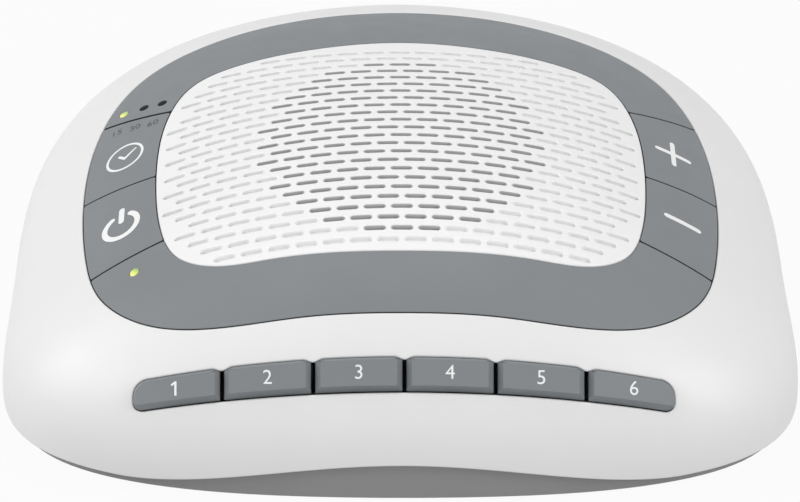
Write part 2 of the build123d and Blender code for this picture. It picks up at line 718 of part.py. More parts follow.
def dome(at):
    return at * Cone(DOME_R, DOME_TOP_R, DOME_HEIGHT, align=(Align.CENTER, Align.CENTER, Align.MIN))


def ring_mat(side):
    low = RING_BOARD_TOP
    sheet = block(sorted((side * 49.5, side * 60.5)), (-33, 8), (low, low + MAT_SHEET))
    for x, y in ring_key_places():
        if x * side > 0:
            sheet += dome(Pos(x, y, low + MAT_SHEET))
    return sheet


def sound_board_depth():
    """How far behind the row's plane the front of the sound key board lies."""
    return SOUND_DOME_TOP + DOME_HEIGHT + MAT_SHEET


def sound_board():
    return extrude(row_plane(sound_board_depth() + BOARD) * Pos(0, -4) * Rectangle(124, 18), amount=BOARD)


def sound_mat():
    depth = sound_board_depth()
    mat = extrude(row_face(CAP_WIDTH / 2 + 1.4, -ROW_HALF_LENGTH - 1, ROW_HALF_LENGTH + 1, depth),
                  amount=MAT_SHEET)
    for number in range(CAP_COUNT):
        middle = sum(cap_limits(number)) / 2
        at = row_plane(depth - MAT_SHEET).location * Pos(middle, row_height(middle), 0)
        mat += dome(at)
    return mat


# ================================================================ small pieces
def battery_contacts():
    """A pad for the raised end and a tapered spring for the flat end of each cell."""
    pieces = []
    z = BASE_Z + COVER + 0.4 + CELL_R
    wall_x = CELL_LENGTH / 2 + BOX_END
    nub_end = (CELL_LENGTH - 1.5) / 2 + 1.2
    spring_end = (CELL_LENGTH - 1.5) / 2 + 0.05
    for number in range(CELL_COUNT):
        way = 1 if number % 2 else -1
        pad = Box(wall_x - nub_end - 0.1, CONTACT_PAD, CONTACT_PAD)
        pieces.append(Pos(way * (wall_x + nub_end) / 2, cell_y(number), z) * pad)
        section = [(wall_x - 0.05, SPRING_R), (spring_end, SPRING_TIP_R),
                   (spring_end, SPRING_TIP_R - SPRING_SHEET), (wall_x - 0.05, SPRING_R - SPRING_SHEET)]
        profile = make_face(Polyline(*[(-way * x, r, 0) for x, r in section], close=True))
        pieces.append(Pos(0, cell_y(number), z) * revolve(profile, Axis.X))
    return Compound(children=pieces)


def speaker_screws():
    screws = []
    low = SPEAKER_TOP - SPEAKER_FLANGE
    for x, y in speaker_ears():
        head = post(x, y, SCREW_HEAD_R, low - 1.2, low)
        screws.append(head + post(x, y, SCREW_R - 0.02, low - 1, SPEAKER_TOP + 2.3))
    return Compound(children=screws)


def rubber_feet():
    return Compound(children=[post(x, y, FOOT_R - 0.1, 0, FOOT_THICK) for x, y in mirrored(FEET_AT)])


def housing_screws():
    screws = []
    for x, y in mirrored(BOSSES_AT):
        head_low = BASE_Z + 0.3
        head = post(x, y, SCREW_HEAD_R, head_low, head_low + SCREW_HEAD)
        screws.append(head + post(x, y, SCREW_R - 0.02, head_low, BASE_Z + BASE_FLOOR + 12))
    return Compound(children=screws)


def lens(x, y):
    return post(x, y, LENS_R, RING_BOARD_TOP + 2.2, TALL) & core(-LENS_PROUD)


# ================================================================ build
if __name__ == "__main__":
    save(upper_housing(), "upper_housing")
    save(lower_housing(), "lower_housing")
    save(control_ring(), "control_ring")
    save(speaker_grille(), "speaker_grille")
    save(ring_key(SEAM_REAR, SEAM_MIDDLE, TIMER_KEY_AT), "timer_button")
    save(ring_key(SEAM_MIDDLE, SEAM_FRONT, POWER_KEY_AT), "power_button")
    save(ring_key(SEAM_REAR, SEAM_MIDDLE, (-TIMER_KEY_AT[0], TIMER_KEY_AT[1])), "volume_up_button")
    save(ring_key(SEAM_MIDDLE, SEAM_FRONT, (-POWER_KEY_AT[0], POWER_KEY_AT[1])), "volume_down_button")
    for cap_number in range(CAP_COUNT):
        save(sound_key(cap_number), f"sound_button_{cap_number + 1}")
    save(sound_mat(), "sound_key_mat")
    save(sound_board(), "sound_key_board")
    for side, side_name in ((-1, "left"), (1, "right")):
        save(ring_board(side), f"{side_name}_key_board")
        save(ring_mat(side), f"{side_name}_key_mat")
    save(speaker_frame(), "speaker_frame")
    save(speaker_magnet(), "speaker_magnet")
    save(speaker_cone(), "speaker_cone")
    save(speaker_screws(), "speaker_screws")
    save(battery_cover(), "battery_cover")
    save(batteries(), "batteries")
    save(battery_contacts(), "battery_contacts")
    save(main_board(), "main_board")
    save(power_inlet(), "power_inlet")
    save(rubber_feet(), "rubber_feet")
    save(housing_screws(), "housing_screws")
    for minutes, place in zip((15, 30, 60), TIMER_LENSES_AT):
        save(lens(*place), f"timer_lens_{minutes}")
    save(lens(*POWER_LENS_AT), "power_lens")
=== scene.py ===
import math

import bpy
import numpy as np
from mathutils import Matrix, Vector
from mathutils.geometry import delaunay_2d_cdt


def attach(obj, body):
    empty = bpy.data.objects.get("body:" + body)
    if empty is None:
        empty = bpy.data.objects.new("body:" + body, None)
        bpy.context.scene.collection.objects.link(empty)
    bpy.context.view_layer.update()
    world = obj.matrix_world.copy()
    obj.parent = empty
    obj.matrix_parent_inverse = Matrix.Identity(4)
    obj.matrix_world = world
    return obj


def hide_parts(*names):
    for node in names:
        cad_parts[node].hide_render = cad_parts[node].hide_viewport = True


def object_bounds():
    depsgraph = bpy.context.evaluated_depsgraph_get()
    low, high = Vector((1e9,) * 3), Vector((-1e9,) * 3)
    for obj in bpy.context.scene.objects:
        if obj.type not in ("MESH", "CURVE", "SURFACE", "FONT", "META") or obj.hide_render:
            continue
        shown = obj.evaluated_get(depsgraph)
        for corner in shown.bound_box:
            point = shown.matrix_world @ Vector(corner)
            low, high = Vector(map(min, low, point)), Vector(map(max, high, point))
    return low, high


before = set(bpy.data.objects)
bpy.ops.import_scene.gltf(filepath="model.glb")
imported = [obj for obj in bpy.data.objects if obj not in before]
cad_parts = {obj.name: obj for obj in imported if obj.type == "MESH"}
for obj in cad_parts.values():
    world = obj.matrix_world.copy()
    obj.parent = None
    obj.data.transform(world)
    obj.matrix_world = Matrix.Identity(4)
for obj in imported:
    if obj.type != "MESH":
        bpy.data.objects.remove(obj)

# The looks of the sound machine. Lengths here are millimetres in the shared frame and become metres
# when a mesh is made. The outer form, outlines and seams repeat part.py's values. The row of sound
# keys follows the photograph a little closer than the solids do.

MM = 0.001
CAD_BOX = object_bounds()
REAR_LIMIT = CAD_BOX[1][1] / MM   # no skin stands behind the solids

# ---------------------------------------------------------------- the form, as in part.py
HALF_WIDTH, HALF_DEPTH = 81.0, 73.8
CROWN_Z, RIM_Z = 51.3, 4.6
CROWN_TILT, CROWN_SHIFT = 0.024, 1.3
PLAN_TAPER, PLAN_SQUARENESS, PLAN_POWER_DROP = 0.011, 0.479, 0.38
EDGE_SIDE, EDGE_FRONT, EDGE_REAR = 0.375, 0.476, 0.26
FALL_SIDE, FALL_LONG, FALL_REAR, FALL_TWIST = 1.357, 0.565, 0.124, -0.272
WALL = 2.2
EDGE_Z, ARCH_Z, ARCH_HALF_SPAN, ARCH_FULLNESS = 3.6, 9.85, 56.0, 0.8
ARCH_FRONT_OF = -10                # the arch is only in the front of the edge

RING_OUTER = [(0, 46.9), (22, 44.8), (40.5, 38.9), (54.5, 29.8), (62.6, 14.5), (65.4, -9.0),
              (63.9, -31.0), (60.0, -45.0), (51.0, -54.2), (38.5, -58.3), (20, -59.1), (0, -59.2)]
RING_INNER = [(0, 27.5), (18, 26.1), (34, 23.4), (43, 19.4), (48.2, 9.5), (50.1, -4.0),
              (50.0, -19.0), (48.4, -32.5), (45.0, -41.0), (38.1, -45.7), (26.1, -46.9), (0, -47.3)]
SEAM_REAR = ((62.3, 15.2), (48.0, 10.8))
SEAM_MIDDLE = ((65.2, -10.4), (50.5, -12.1))
SEAM_FRONT = ((62.5, -37.8), (48.1, -35.0))
LOOK_GAP = 0.08                # the pieces' skins meet closer than their solids
KEY_LOOK_GAP = 0.12
SEAM_GAP = 0.46
TIMER_SEAM_GAP = 0.7           # the seam behind the timer key shows widest

GRILLE_MID_Y = -12.5
SLOT_PITCH, SLOT_LENGTH, SLOT_WIDTH, ROW_PITCH = 5.44, 4.4, 1.2, 2.912
SLOT_ROWS_REAR, SLOT_ROWS_FRONT = 12, 11
SLOT_BORDER = 0.5
BORDER_STRETCH, BORDER_SHIFT = 1.008, 0.4   # the slots' outline against the ring's inner points
OPEN_R = 31.0
BLIND_DEPTH = 0.9              # of the slots that don't go through
FLOOR_ROUND = 0.15
SLOT_LIP = 0.22
GRILLE_EDGE = 0.3
SLOT_THROAT = 1.2              # width below the soft lip
GRILLE_SKIN = 2.2
OPEN_LIP = 1.45                # the open slots widen below this depth

ROW_AT = (0.35, -67.2, 27.67)
ROW_RISE = math.radians(32.0)
ROW_RADIUS_REAR, ROW_RADIUS_FRONT = 283.0, 345.0
ROW_DROP = 0.15                # the caps' faces sit a little down the slope
ROW_PITCH_X = 17.95
ROW_HALF_LENGTH = 53.6
CAP_WIDTH, CAP_GAP = 6.75, 0.8
CAP_PROUD, CAP_END_R_REAR, CAP_END_R_FRONT, CAP_COUNT = 1.2, 3.6, 1.8, 6
SLOT_REAR_GAP, SLOT_FRONT_GAP = 0.04, 0.22
NOTCH_REACH, NOTCH_DEPTH = 1.4, 0.55
SIDE_POINTS = 48

# Points along the long outlines, and the spacing of the points between them.
RING_POINTS, INNER_POINTS, OPENING_POINTS, GRILLE_POINTS = 900, 760, 520, 620
SLOT_POINTS, SKIRT_POINTS, JACK_POINTS = 420, 900, 64
SHELL_GRID, RING_GRID, KEY_GRID, FLOOR_GRID, GRILLE_GRID, PRINT_GRID = 2.0, 2.0, 1.6, 4.0, 2.2, 0.6
SHELL_EDGE = 0.45              # radius of the shell's lips
SLOT_WALL = 3.0                # the key slot's wall goes this deep
SKIRT_WALL = 4.0               # height of the inner face at the lower edge

TIMER_LENSES_AT = [(-58.1, 17.4), (-53.8, 16.5), (-49.9, 15.6)]
POWER_LENS_AT = (-53.6, -41.1)

JACK_X, JACK_Z, JACK_HOLE_R, JACK_FACE_Y = 22.0, 18.2, 4.2, 66.4
LENS_R, LENS_RISE = 0.88, 0.05   # the windows show a little smaller than their stems
LENS_BULGE, LENS_DEPTH, LENS_CLEAR = 0.35, 1.6, 0.08


# ================================================================ the form in numbers
def form(across, along):
    """Points of the outer form for places in the unit circle, as arrays."""
    rho = np.hypot(across, along)
    far = rho > 1e-9
    cos = np.where(far, across / np.maximum(rho, 1e-9), 1.0)
    sin = np.where(far, along / np.maximum(rho, 1e-9), 0.0)
    power = 2 - PLAN_POWER_DROP * along * rho**2
    reach = (np.abs(cos) ** power + np.abs(sin) ** power) ** (-1 / power)
    fill = 1 - PLAN_TAPER * along * reach + PLAN_SQUARENESS * (along * reach) ** 2
    x = HALF_WIDTH * across * reach * fill
    y = HALF_DEPTH * along * reach - CROWN_SHIFT * (1 - rho**2)
    fall = (FALL_SIDE * across**2 + FALL_LONG * along**2
            + FALL_REAR * along**3 + FALL_TWIST * across**2 * along)
    rim_fall = FALL_SIDE * cos**2 + FALL_LONG * sin**2 + FALL_REAR * sin**3 + FALL_TWIST * cos**2 * sin
    left = np.maximum(1 - fall - (1 - rim_fall) * rho**4, 0)
    edge = (EDGE_SIDE + (EDGE_REAR - EDGE_FRONT) / 2 * along
            + ((EDGE_REAR + EDGE_FRONT) / 2 - EDGE_SIDE) * along**2)
    crown = CROWN_Z + CROWN_TILT * (y + CROWN_SHIFT)
    return np.stack([x, y, RIM_Z + (crown - RIM_Z) * left**edge], axis=-1)


def unit_place(x, y):
    """Places in the unit circle of plan points."""
    across, along = x / HALF_WIDTH, y / HALF_DEPTH
    for _ in range(40):
        point = form(across, along)
        across = across + 0.9 * (x - point[..., 0]) / HALF_WIDTH
        along = along + 0.9 * (y - point[..., 1]) / HALF_DEPTH
        shrink = np.minimum(0.99995 / np.maximum(np.hypot(across, along), 1e-9), 1)
        across, along = across * shrink, along * shrink
    return across, along


def height(x, y):
    return form(*unit_place(np.asarray(x, float), np.asarray(y, float)))[..., 2]


def on_form(plan, depth=0.0):
    """Points under plan places at a depth square to the surface, and the surface's normals there."""
    plan = np.asarray(plan, float)
    x, y, step = plan[:, 0], plan[:, 1], 0.05
    slope_x = (height(x + step, y) - height(x - step, y)) / (2 * step)
    slope_y = (height(x, y + step) - height(x, y - step)) / (2 * step)
    steep = np.sqrt(1 + slope_x**2 + slope_y**2)
    normals = np.stack([-slope_x, -slope_y, np.ones_like(x)], axis=-1) / steep[:, None]
    return np.stack([x, y, height(x, y) - depth * steep], axis=-1), normals


# ================================================================ plan outlines
def smooth_loop(points, count):
    """Closed smooth loop through points, as count points evenly spaced along it."""
    points = np.asarray(points, float)
    n = len(points)
    chord = np.linalg.norm(np.roll(points, -1, axis=0) - points, axis=1)
    t = np.concatenate([[0], np.cumsum(chord)])
    h = chord
    matrix, right = np.zeros((n, n)), np.zeros((n, 2))
    for i in range(n):
        before, after = h[i - 1], h[i]
        matrix[i, i - 1] += before
        matrix[i, i] += 2 * (before + after)
        matrix[i, (i + 1) % n] += after
        rise = (points[(i + 1) % n] - points[i]) / after
        right[i] = 6 * (rise - (points[i] - points[i - 1]) / before)
    bend = np.linalg.solve(matrix, right)
    fine = np.linspace(0, t[-1], count * 8, endpoint=False)
    i = np.clip(np.searchsorted(t, fine, side="right") - 1, 0, n - 1)
    j = (i + 1) % n
    a, b = (t[i + 1] - fine)[:, None], (fine - t[i])[:, None]
    hh = h[i][:, None]
    curve = (bend[i] * a**3 + bend[j] * b**3) / (6 * hh)
    curve += (points[i] / hh - bend[i] * hh / 6) * a + (points[j] / hh - bend[j] * hh / 6) * b
    return resample(curve, count)


def resample(curve, count, closed=True):
    """The same curve as count evenly spaced points."""
    curve = np.asarray(curve, float)
    if closed:
        curve = np.vstack([curve, curve[:1]])
    run = np.concatenate([[0], np.cumsum(np.linalg.norm(np.diff(curve, axis=0), axis=1))])
    at = np.linspace(0, run[-1], count, endpoint=not closed)
    return np.stack([np.interp(at, run, curve[:, k]) for k in range(curve.shape[1])], axis=-1)


def loop_normals(loop):
    """Outward plan normals of a loop that runs clockwise as the ring's outlines do."""
    tangent = np.roll(loop, -1, axis=0) - np.roll(loop, 1, axis=0)
    tangent /= np.linalg.norm(tangent, axis=1)[:, None]
    return np.stack([-tangent[:, 1], tangent[:, 0]], axis=-1)


def turned(loop, clockwise=True):
    """The loop running the asked way round."""
    x, y = loop[:, 0], loop[:, 1]
    area = np.sum(x * np.roll(y, -1) - np.roll(x, -1) * y) / 2
    return loop if (area < 0) == clockwise else loop[::-1]


def grown(loop, amount):
    return loop + loop_normals(loop) * amount


def ring_loop(right_half, grow, count):
    points = list(right_half) + [(-x, y) for x, y in reversed(right_half[1:-1])]
    return grown(smooth_loop(points, count), grow)


def inside(points, loops):
    """Whether plan points lie inside an odd number of loops."""
    points = np.asarray(points, float)
    hit = np.zeros(len(points), bool)
    for loop in loops:
        x0, y0 = loop[:, 0], loop[:, 1]
        x1, y1 = np.roll(x0, -1), np.roll(y0, -1)
        low, high = loop.min(0), loop.max(0)
        near = np.where(np.all((points >= low) & (points <= high), axis=1))[0]
        for part in np.array_split(near, max(1, len(near) * len(loop) // 4_000_000)):
            px, py = points[part, 0][:, None], points[part, 1][:, None]
            crosses = (y0 > py) != (y1 > py)
            with np.errstate(divide="ignore", invalid="ignore"):
                at = (x1 - x0) * (py - y0) / (y1 - y0) + x0
            hit[part] ^= (np.sum(crosses & (px < at), axis=1) % 2).astype(bool)
    return hit


def fill(loops, spacing):
    """Upward triangles that fill the region between loops, with inner points on a grid.

    Returns the points and the triangles."""
    edges, coords, start = [], [], 0
    for loop in loops:
        n = len(loop)
        edges += [(start + i, start + (i + 1) % n) for i in range(n)]
        coords.append(loop)
        start += n
    border = np.vstack(coords)
    low, high = border.min(0), border.max(0)
    xs = np.arange(low[0], high[0], spacing)
    ys = np.arange(low[1], high[1], spacing * 0.87)
    grid = np.array([(x + (spacing / 2 if row % 2 else 0), y) for row, y in enumerate(ys) for x in xs])
    grid = grid[inside(grid, loops)]
    clear = np.ones(len(grid), bool)
    for part in np.array_split(np.arange(len(grid)), max(1, len(grid) * len(border) // 4_000_000)):
        apart = grid[part][:, None] - border
        gap = np.min(np.hypot(apart[..., 0], apart[..., 1]), axis=1)
        clear[part] = gap > spacing * 0.45
    points = np.vstack([border, grid[clear]])
    out, _, faces, _, _, _ = delaunay_2d_cdt([Vector(p) for p in points], edges, [], 0, 1e-6)
    out = np.array([tuple(p) for p in out])
    faces = np.array([f for f in faces if len(f) == 3])
    keep = inside(out[faces].mean(1), loops)
    if len(out) != len(points):
        raise ValueError("the outlines of a filled region cross")
    faces = faces[keep]
    area = np.cross(points[faces[:, 1]] - points[faces[:, 0]], points[faces[:, 2]] - points[faces[:, 0]])
    return points, np.where((area > 0)[:, None], faces, faces[:, ::-1])


# ================================================================ meshes
BODY = "machine"


ROUND_STEPS = 4


class Build:
    """Gathers points, normals and faces of one piece."""

    def __init__(self):
        self.points, self.normals, self.faces = [], [], []
        self.count = 0
        self.painted_shade_runs = []              # runs of faces that take the second material

    def add(self, points, normals):
        """Adds points and returns the index of the first."""
        first = self.count
        self.points.append(np.asarray(points, float))
        self.normals.append(np.asarray(normals, float))
        self.count += len(points)
        return first

    def strip(self, first, second, n, flip=False):
        """Quads between two rows of n points that close on themselves."""
        for i in range(n):
            j = (i + 1) % n
            quad = (first + i, first + j, second + j, second + i)
            self.faces.append(quad[::-1] if flip else quad)

    def strips(self, rows, n, flip=False):
        """Quads between each row and the next."""
        for first, second in zip(rows, rows[1:]):
            self.strip(first, second, n, flip)

    def triangles(self, first, faces):
        self.faces += [(first + a, first + b, first + c) for a, b, c in faces]

    def rim(self, last, loop, edge, low, shade=False):
        """Rounds the edge that ends at a loop of the form, then drops an upright side. With shade set, the
        side's faces take the piece's second material, a painted shade.
        """
        n = len(loop)
        outward = loop_normals(loop)
        side = np.column_stack([outward, np.zeros(n)])
        for step in range(1, ROUND_STEPS + 1):
            angle = math.pi / 2 * step / ROUND_STEPS
            row, up = on_form(loop + outward * (edge * (math.sin(angle) - 1)), edge * (1 - math.cos(angle)))
            at = self.add(row, up * math.cos(angle) + side * math.sin(angle))
            self.strip(last, at, n)
            last = at
        at = self.add(on_form(loop, low)[0], side)
        if shade:
            self.painted_shade_runs.append((len(self.faces), len(self.faces) + n))
        self.strip(last, at, n)

    def make(self, name, body=BODY):
        """A smooth mesh object in metres, riding on a body."""
        points, normals = np.vstack(self.points), np.vstack(self.normals)
        points[:, 1] = np.minimum(points[:, 1], REAR_LIMIT)
        normals = normals / np.maximum(np.linalg.norm(normals, axis=1), 1e-9)[:, None]
        mesh = bpy.data.meshes.new(name)
        mesh.from_pydata((points * MM).tolist(), [], [list(map(int, face)) for face in self.faces])
        mesh.validate()
        mesh.polygons.foreach_set("use_smooth", [True] * len(mesh.polygons))
        mesh.normals_split_custom_set_from_vertices([tuple(normal) for normal in normals])
        mesh.update()
        piece = bpy.data.objects.new(name, mesh)
        bpy.context.collection.objects.link(piece)
        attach(piece, body)
        # faces marked for painted shade take the second material
        for first, end in self.painted_shade_runs:
            for face in range(first, end):
                mesh.polygons[face].material_index = 1
        return piece


def tile(build, outer, holes, bottom, edge, spacing):
    """A plate lying in the form: filled top, rounded edges and upright sides down to a depth. The sides take
    the piece's second material, a painted shade.
    """
    loops = [turned(outer, True)] + [turned(hole, False) for hole in holes]
    points, faces = fill([grown(loop, -edge) for loop in loops], spacing)
    at = build.add(*on_form(points))
    build.triangles(at, faces)
    for loop in loops:
        build.rim(at, loop, edge, bottom, shade=True)
        at += len(loop)
    return build


# ================================================================ materials
def material(name, colour, roughness, metallic=0.0):
    """A principled material and its node tree, shader and a position node in millimetres."""
    made = bpy.data.materials.new(name)
    made.use_nodes = True
    tree = made.node_tree
    shader = tree.nodes["Principled BSDF"]
    shader.inputs["Base Color"].default_value = (*colour, 1)
    shader.inputs["Roughness"].default_value = roughness
    shader.inputs["Metallic"].default_value = metallic
    place = tree.nodes.new("ShaderNodeTexCoord")
    scale = tree.nodes.new("ShaderNodeVectorMath")
    scale.operation = "SCALE"
    scale.inputs["Scale"].default_value = 1 / MM
    tree.links.new(place.outputs["Object"], scale.inputs[0])
    return made, tree, shader, scale.outputs[0]


def noise(tree, place, size, detail=3.0, roughness=0.5):
    """Noise whose features are about size millimetres wide."""
    node = tree.nodes.new("ShaderNodeTexNoise")
    node.inputs["Scale"].default_value = 1 / size
    node.inputs["Detail"].default_value = detail
    node.inputs["Roughness"].default_value = roughness
    tree.links.new(place, node.inputs["Vector"])
    return node.outputs["Fac"]


def spread(tree, value, low, high, out_low, out_high):
    """Value stretched from one range to another."""
    node = tree.nodes.new("ShaderNodeMapRange")
    node.inputs["From Min"].default_value = low
    node.inputs["From Max"].default_value = high
    node.inputs["To Min"].default_value = out_low
    node.inputs["To Max"].default_value = out_high
    tree.links.new(value, node.inputs["Value"])
    return node.outputs["Result"]


def two_colours(tree, value, first, second):
    node = tree.nodes.new("ShaderNodeMix")
    node.data_type = "RGBA"
    node.inputs["A"].default_value = (*first, 1)
    node.inputs["B"].default_value = (*second, 1)
    tree.links.new(value, node.inputs["Factor"])
    return node.outputs["Result"]


def bump(tree, shader, value, depth):
    """Relief of a depth in millimetres."""
    node = tree.nodes.new("ShaderNodeBump")
    node.inputs["Distance"].default_value = depth * MM
    node.inputs["Strength"].default_value = 1.0
    tree.links.new(value, node.inputs["Height"])
    tree.links.new(node.outputs["Normal"], shader.inputs["Normal"])


def moulded(name, colour, roughness, grain=0.35, relief=0.006, mottle=0.03):
    """Moulded plastic: fine spark texture, slight mottling and uneven sheen."""
    made, tree, shader, place = material(name, colour, roughness)
    cloud = noise(tree, place, 14.0, 2.0)
    light = tuple(min(c * (1 + mottle), 1) for c in colour)
    dark = tuple(c * (1 - mottle) for c in colour)
    mottled = two_colours(tree, spread(tree, cloud, 0.3, 0.7, 0, 1), dark, light)
    tree.links.new(mottled, shader.inputs["Base Color"])
    smear = spread(tree, noise(tree, place, 5.0, 4.0), 0.3, 0.7, roughness - 0.04, roughness + 0.05)
    tree.links.new(smear, shader.inputs["Roughness"])
    bump(tree, shader, noise(tree, place, grain, 2.0, 0.6), relief)
    return made


WHITE = moulded("white_moulding", (0.78, 0.78, 0.778), 0.42, grain=0.5, relief=0.003, mottle=0.008)
GRILLE_WHITE = moulded("grille_moulding", (0.84, 0.84, 0.84), 0.45, grain=0.5, relief=0.003, mottle=0.008)
GREY = moulded("grey_moulding", (0.194, 0.208, 0.220), 0.5, grain=0.4, relief=0.006, mottle=0.02)
CAP_GREY = moulded("cap_moulding", (0.195, 0.210, 0.222), 0.40, grain=0.4, relief=0.004, mottle=0.02)
BASE_GREY = moulded("base_moulding", (0.265, 0.265, 0.265), 0.5, grain=0.4, relief=0.006, mottle=0.02)
PRINT_WHITE = moulded("white_print", (0.86, 0.86, 0.86), 0.5, grain=0.2, relief=0.001, mottle=0.01)
PRINT_GREY = moulded("grey_print", (0.055, 0.06, 0.063), 0.5, grain=0.2, relief=0.001, mottle=0.01)
# painted shade: a darker grey for the walls of the open slots, standing in for the shade deep inside them
SLOT_SHADE = moulded("slot_shade", (0.60, 0.60, 0.60), 0.6, grain=0.5, relief=0.003, mottle=0.02)
# painted shade: a near-black colour for the upright walls in the seams between the ring's pieces, standing in
# for the shade that falls in those narrow gaps
PAINTED_SEAM_SHADE = moulded("seam_shade", (0.02, 0.022, 0.023), 0.8, mottle=0.1)


GLOW_YELLOW, GLOW_GREEN = (0.72, 0.70, 0.16), (0.16, 0.36, 0.06)


def lamp_material(name, lit):
    """Small moulded lamp window: a glow that runs from pale yellow to green, or smoked when off."""
    made, tree, shader, place = material(name, (0.012, 0.013, 0.012), 0.3 if lit else 0.6)
    if lit:
        inner = tree.nodes.new("ShaderNodeTexCoord")
        split = tree.nodes.new("ShaderNodeSeparateXYZ")
        tree.links.new(inner.outputs["Generated"], split.inputs[0])
        along = tree.nodes.new("ShaderNodeMath")
        along.operation = "ADD"
        tree.links.new(split.outputs["X"], along.inputs[0])
        tree.links.new(split.outputs["Y"], along.inputs[1])
        run = spread(tree, along.outputs[0], 0.5, 1.6, 0, 1)
        glow = two_colours(tree, run, GLOW_YELLOW, GLOW_GREEN)
        tree.links.new(glow, shader.inputs["Base Color"])
        tree.links.new(glow, shader.inputs["Emission Color"])
        shader.inputs["Emission Strength"].default_value = 0.35
        shader.inputs["Coat Weight"].default_value = 0.6
    else:
        shader.inputs["Specular IOR Level"].default_value = 0.1
    bump(tree, shader, noise(tree, place, 0.5), 0.01)
    return made


LAMP_LIT = lamp_material("lamp_lit", True)
LAMP_DARK = lamp_material("lamp_dark", False)


def coat(piece, made, second=None):
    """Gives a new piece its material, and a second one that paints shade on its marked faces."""
    piece.data.materials.append(made)
    if second:
        piece.data.materials.append(second)
    return piece


# ================================================================ upper housing
ANGLES = 720
TURNS = 260


class Cloth:
    """The form unrolled from its crown: a place is a direction and an arc length from the crown."""

    def __init__(self):
        share = np.linspace(0, 1, TURNS)
        self.turns = math.pi / 2 * (1 - (1 - share) ** 3)
        self.angles = np.linspace(0, 2 * math.pi, ANGLES + 1)
        rho = np.sin(self.turns)[None, :]
        points = form(rho * np.cos(self.angles)[:, None], rho * np.sin(self.angles)[:, None])
        steps = np.linalg.norm(np.diff(points, axis=1), axis=2)
        self.run = np.concatenate([np.zeros((ANGLES + 1, 1)), np.cumsum(steps, axis=1)], axis=1)
        self.dome = self.run[:, -1]

    def along(self, table, angle):
        """Table values between two directions."""
        at = (np.asarray(angle) % (2 * math.pi)) / (2 * math.pi) * ANGLES
        i = np.minimum(at.astype(int), ANGLES - 1)
        part = at - i
        return table[i] * (1 - part)[..., None] + table[i + 1] * part[..., None]

    def dome_length(self, angle):
        return self.along(self.dome[:, None], angle)[..., 0]

    def turn_at(self, run, angle):
        rows = self.along(self.run, angle)
        return np.array([np.interp(r, row, self.turns) for r, row in zip(run, rows)])

    def run_at(self, turn, angle):
        rows = self.along(self.run, angle)
        return np.array([np.interp(t, self.turns, row) for t, row in zip(turn, rows)])

    def place(self, flat):
        """Points and normals of places on the unrolled form."""
        flat = np.asarray(flat, float)
        angle, run = np.arctan2(flat[:, 1], flat[:, 0]), np.hypot(flat[:, 0], flat[:, 1])
        dome = self.dome_length(angle)
        turn = self.turn_at(np.minimum(run, dome), angle)
        points = self.dome_point(turn, angle)
        points[:, 2] -= np.maximum(run - dome, 0)
        return points, self.normal(turn, angle)

    @staticmethod
    def dome_point(turn, angle):
        return form(np.sin(turn) * np.cos(angle), np.sin(turn) * np.sin(angle))

    def normal(self, turn, angle):
        step = 1e-4
        low = np.clip(turn - step, 0, math.pi / 2)
        high = np.clip(turn + step, 0, math.pi / 2)
        outward = self.dome_point(high, angle) - self.dome_point(low, angle)
        around = self.dome_point(turn, angle + step) - self.dome_point(turn, angle - step)
        normal = np.cross(outward, around)
        rim = turn > math.pi / 2 - 3e-3
        normal[rim, 2] = 0
        normal[rim, :2] = np.stack([around[rim, 1], -around[rim, 0]], axis=-1)
        return normal / np.linalg.norm(normal, axis=1)[:, None]

    def flat(self, plan):
        """Unrolled places of plan points on the dome."""
        across, along = unit_place(plan[:, 0], plan[:, 1])
        angle, turn = np.arctan2(along, across), np.arcsin(np.clip(np.hypot(across, along), 0, 1))
        run = self.run_at(turn, angle)
        return np.stack([run * np.cos(angle), run * np.sin(angle)], axis=-1)

    def lower_edge(self, angle):
        """Unrolled places of the housing's lower edge, arched at the front."""
        dome = self.dome_length(angle)
        low, high = np.full_like(angle, 1.2), np.full_like(angle, math.pi / 2)
        for _ in range(40):
            middle = (low + high) / 2
            point = self.dome_point(middle, angle)
            over = point[:, 2] > edge_height(point)
            low, high = np.where(over, middle, low), np.where(over, high, middle)
        run = self.run_at(low, angle)
        edge = edge_height(self.dome_point(np.full_like(angle, math.pi / 2), angle))
        run = np.where(edge > RIM_Z, run, dome + RIM_Z - edge)
        return np.stack([run * np.cos(angle), run * np.sin(angle)], axis=-1)


def edge_height(point):
    """Height of the housing's lower edge by the place along it."""
    x = np.clip(point[:, 0], -ARCH_HALF_SPAN, ARCH_HALF_SPAN)
    lift = (1 + np.cos(math.pi * x / ARCH_HALF_SPAN)) / 2
    arch = EDGE_Z + (ARCH_Z - EDGE_Z) * lift**ARCH_FULLNESS
    return np.where(point[:, 1] < ARCH_FRONT_OF, arch, EDGE_Z)


cloth = Cloth()

# ---------------------------------------------------------------- the slanted row on the front
ROW_OUT = np.array([0, -math.cos(ROW_RISE), math.sin(ROW_RISE)])
ROW_UP = np.array([0, math.sin(ROW_RISE), math.cos(ROW_RISE)])
ROW_ACROSS = np.array([1.0, 0, 0])


def row_point(across, up, out):
    """Points given by their places along the row, up the slope and out of it."""
    across, up, out = np.broadcast_arrays(np.asarray(across, float), up, out)
    return (np.array(ROW_AT) + across[..., None] * ROW_ACROSS + up[..., None] * ROW_UP
            + out[..., None] * ROW_OUT)


def rear_depth(x, z):
    """How far back the rear of the housing lies at places on it."""
    low, high = np.zeros_like(x), np.full_like(x, HALF_DEPTH)
    for _ in range(30):
        middle = (low + high) / 2
        inner = height(x, middle) > z
        low, high = np.where(inner, middle, low), np.where(inner, high, middle)
    return (low + high) / 2


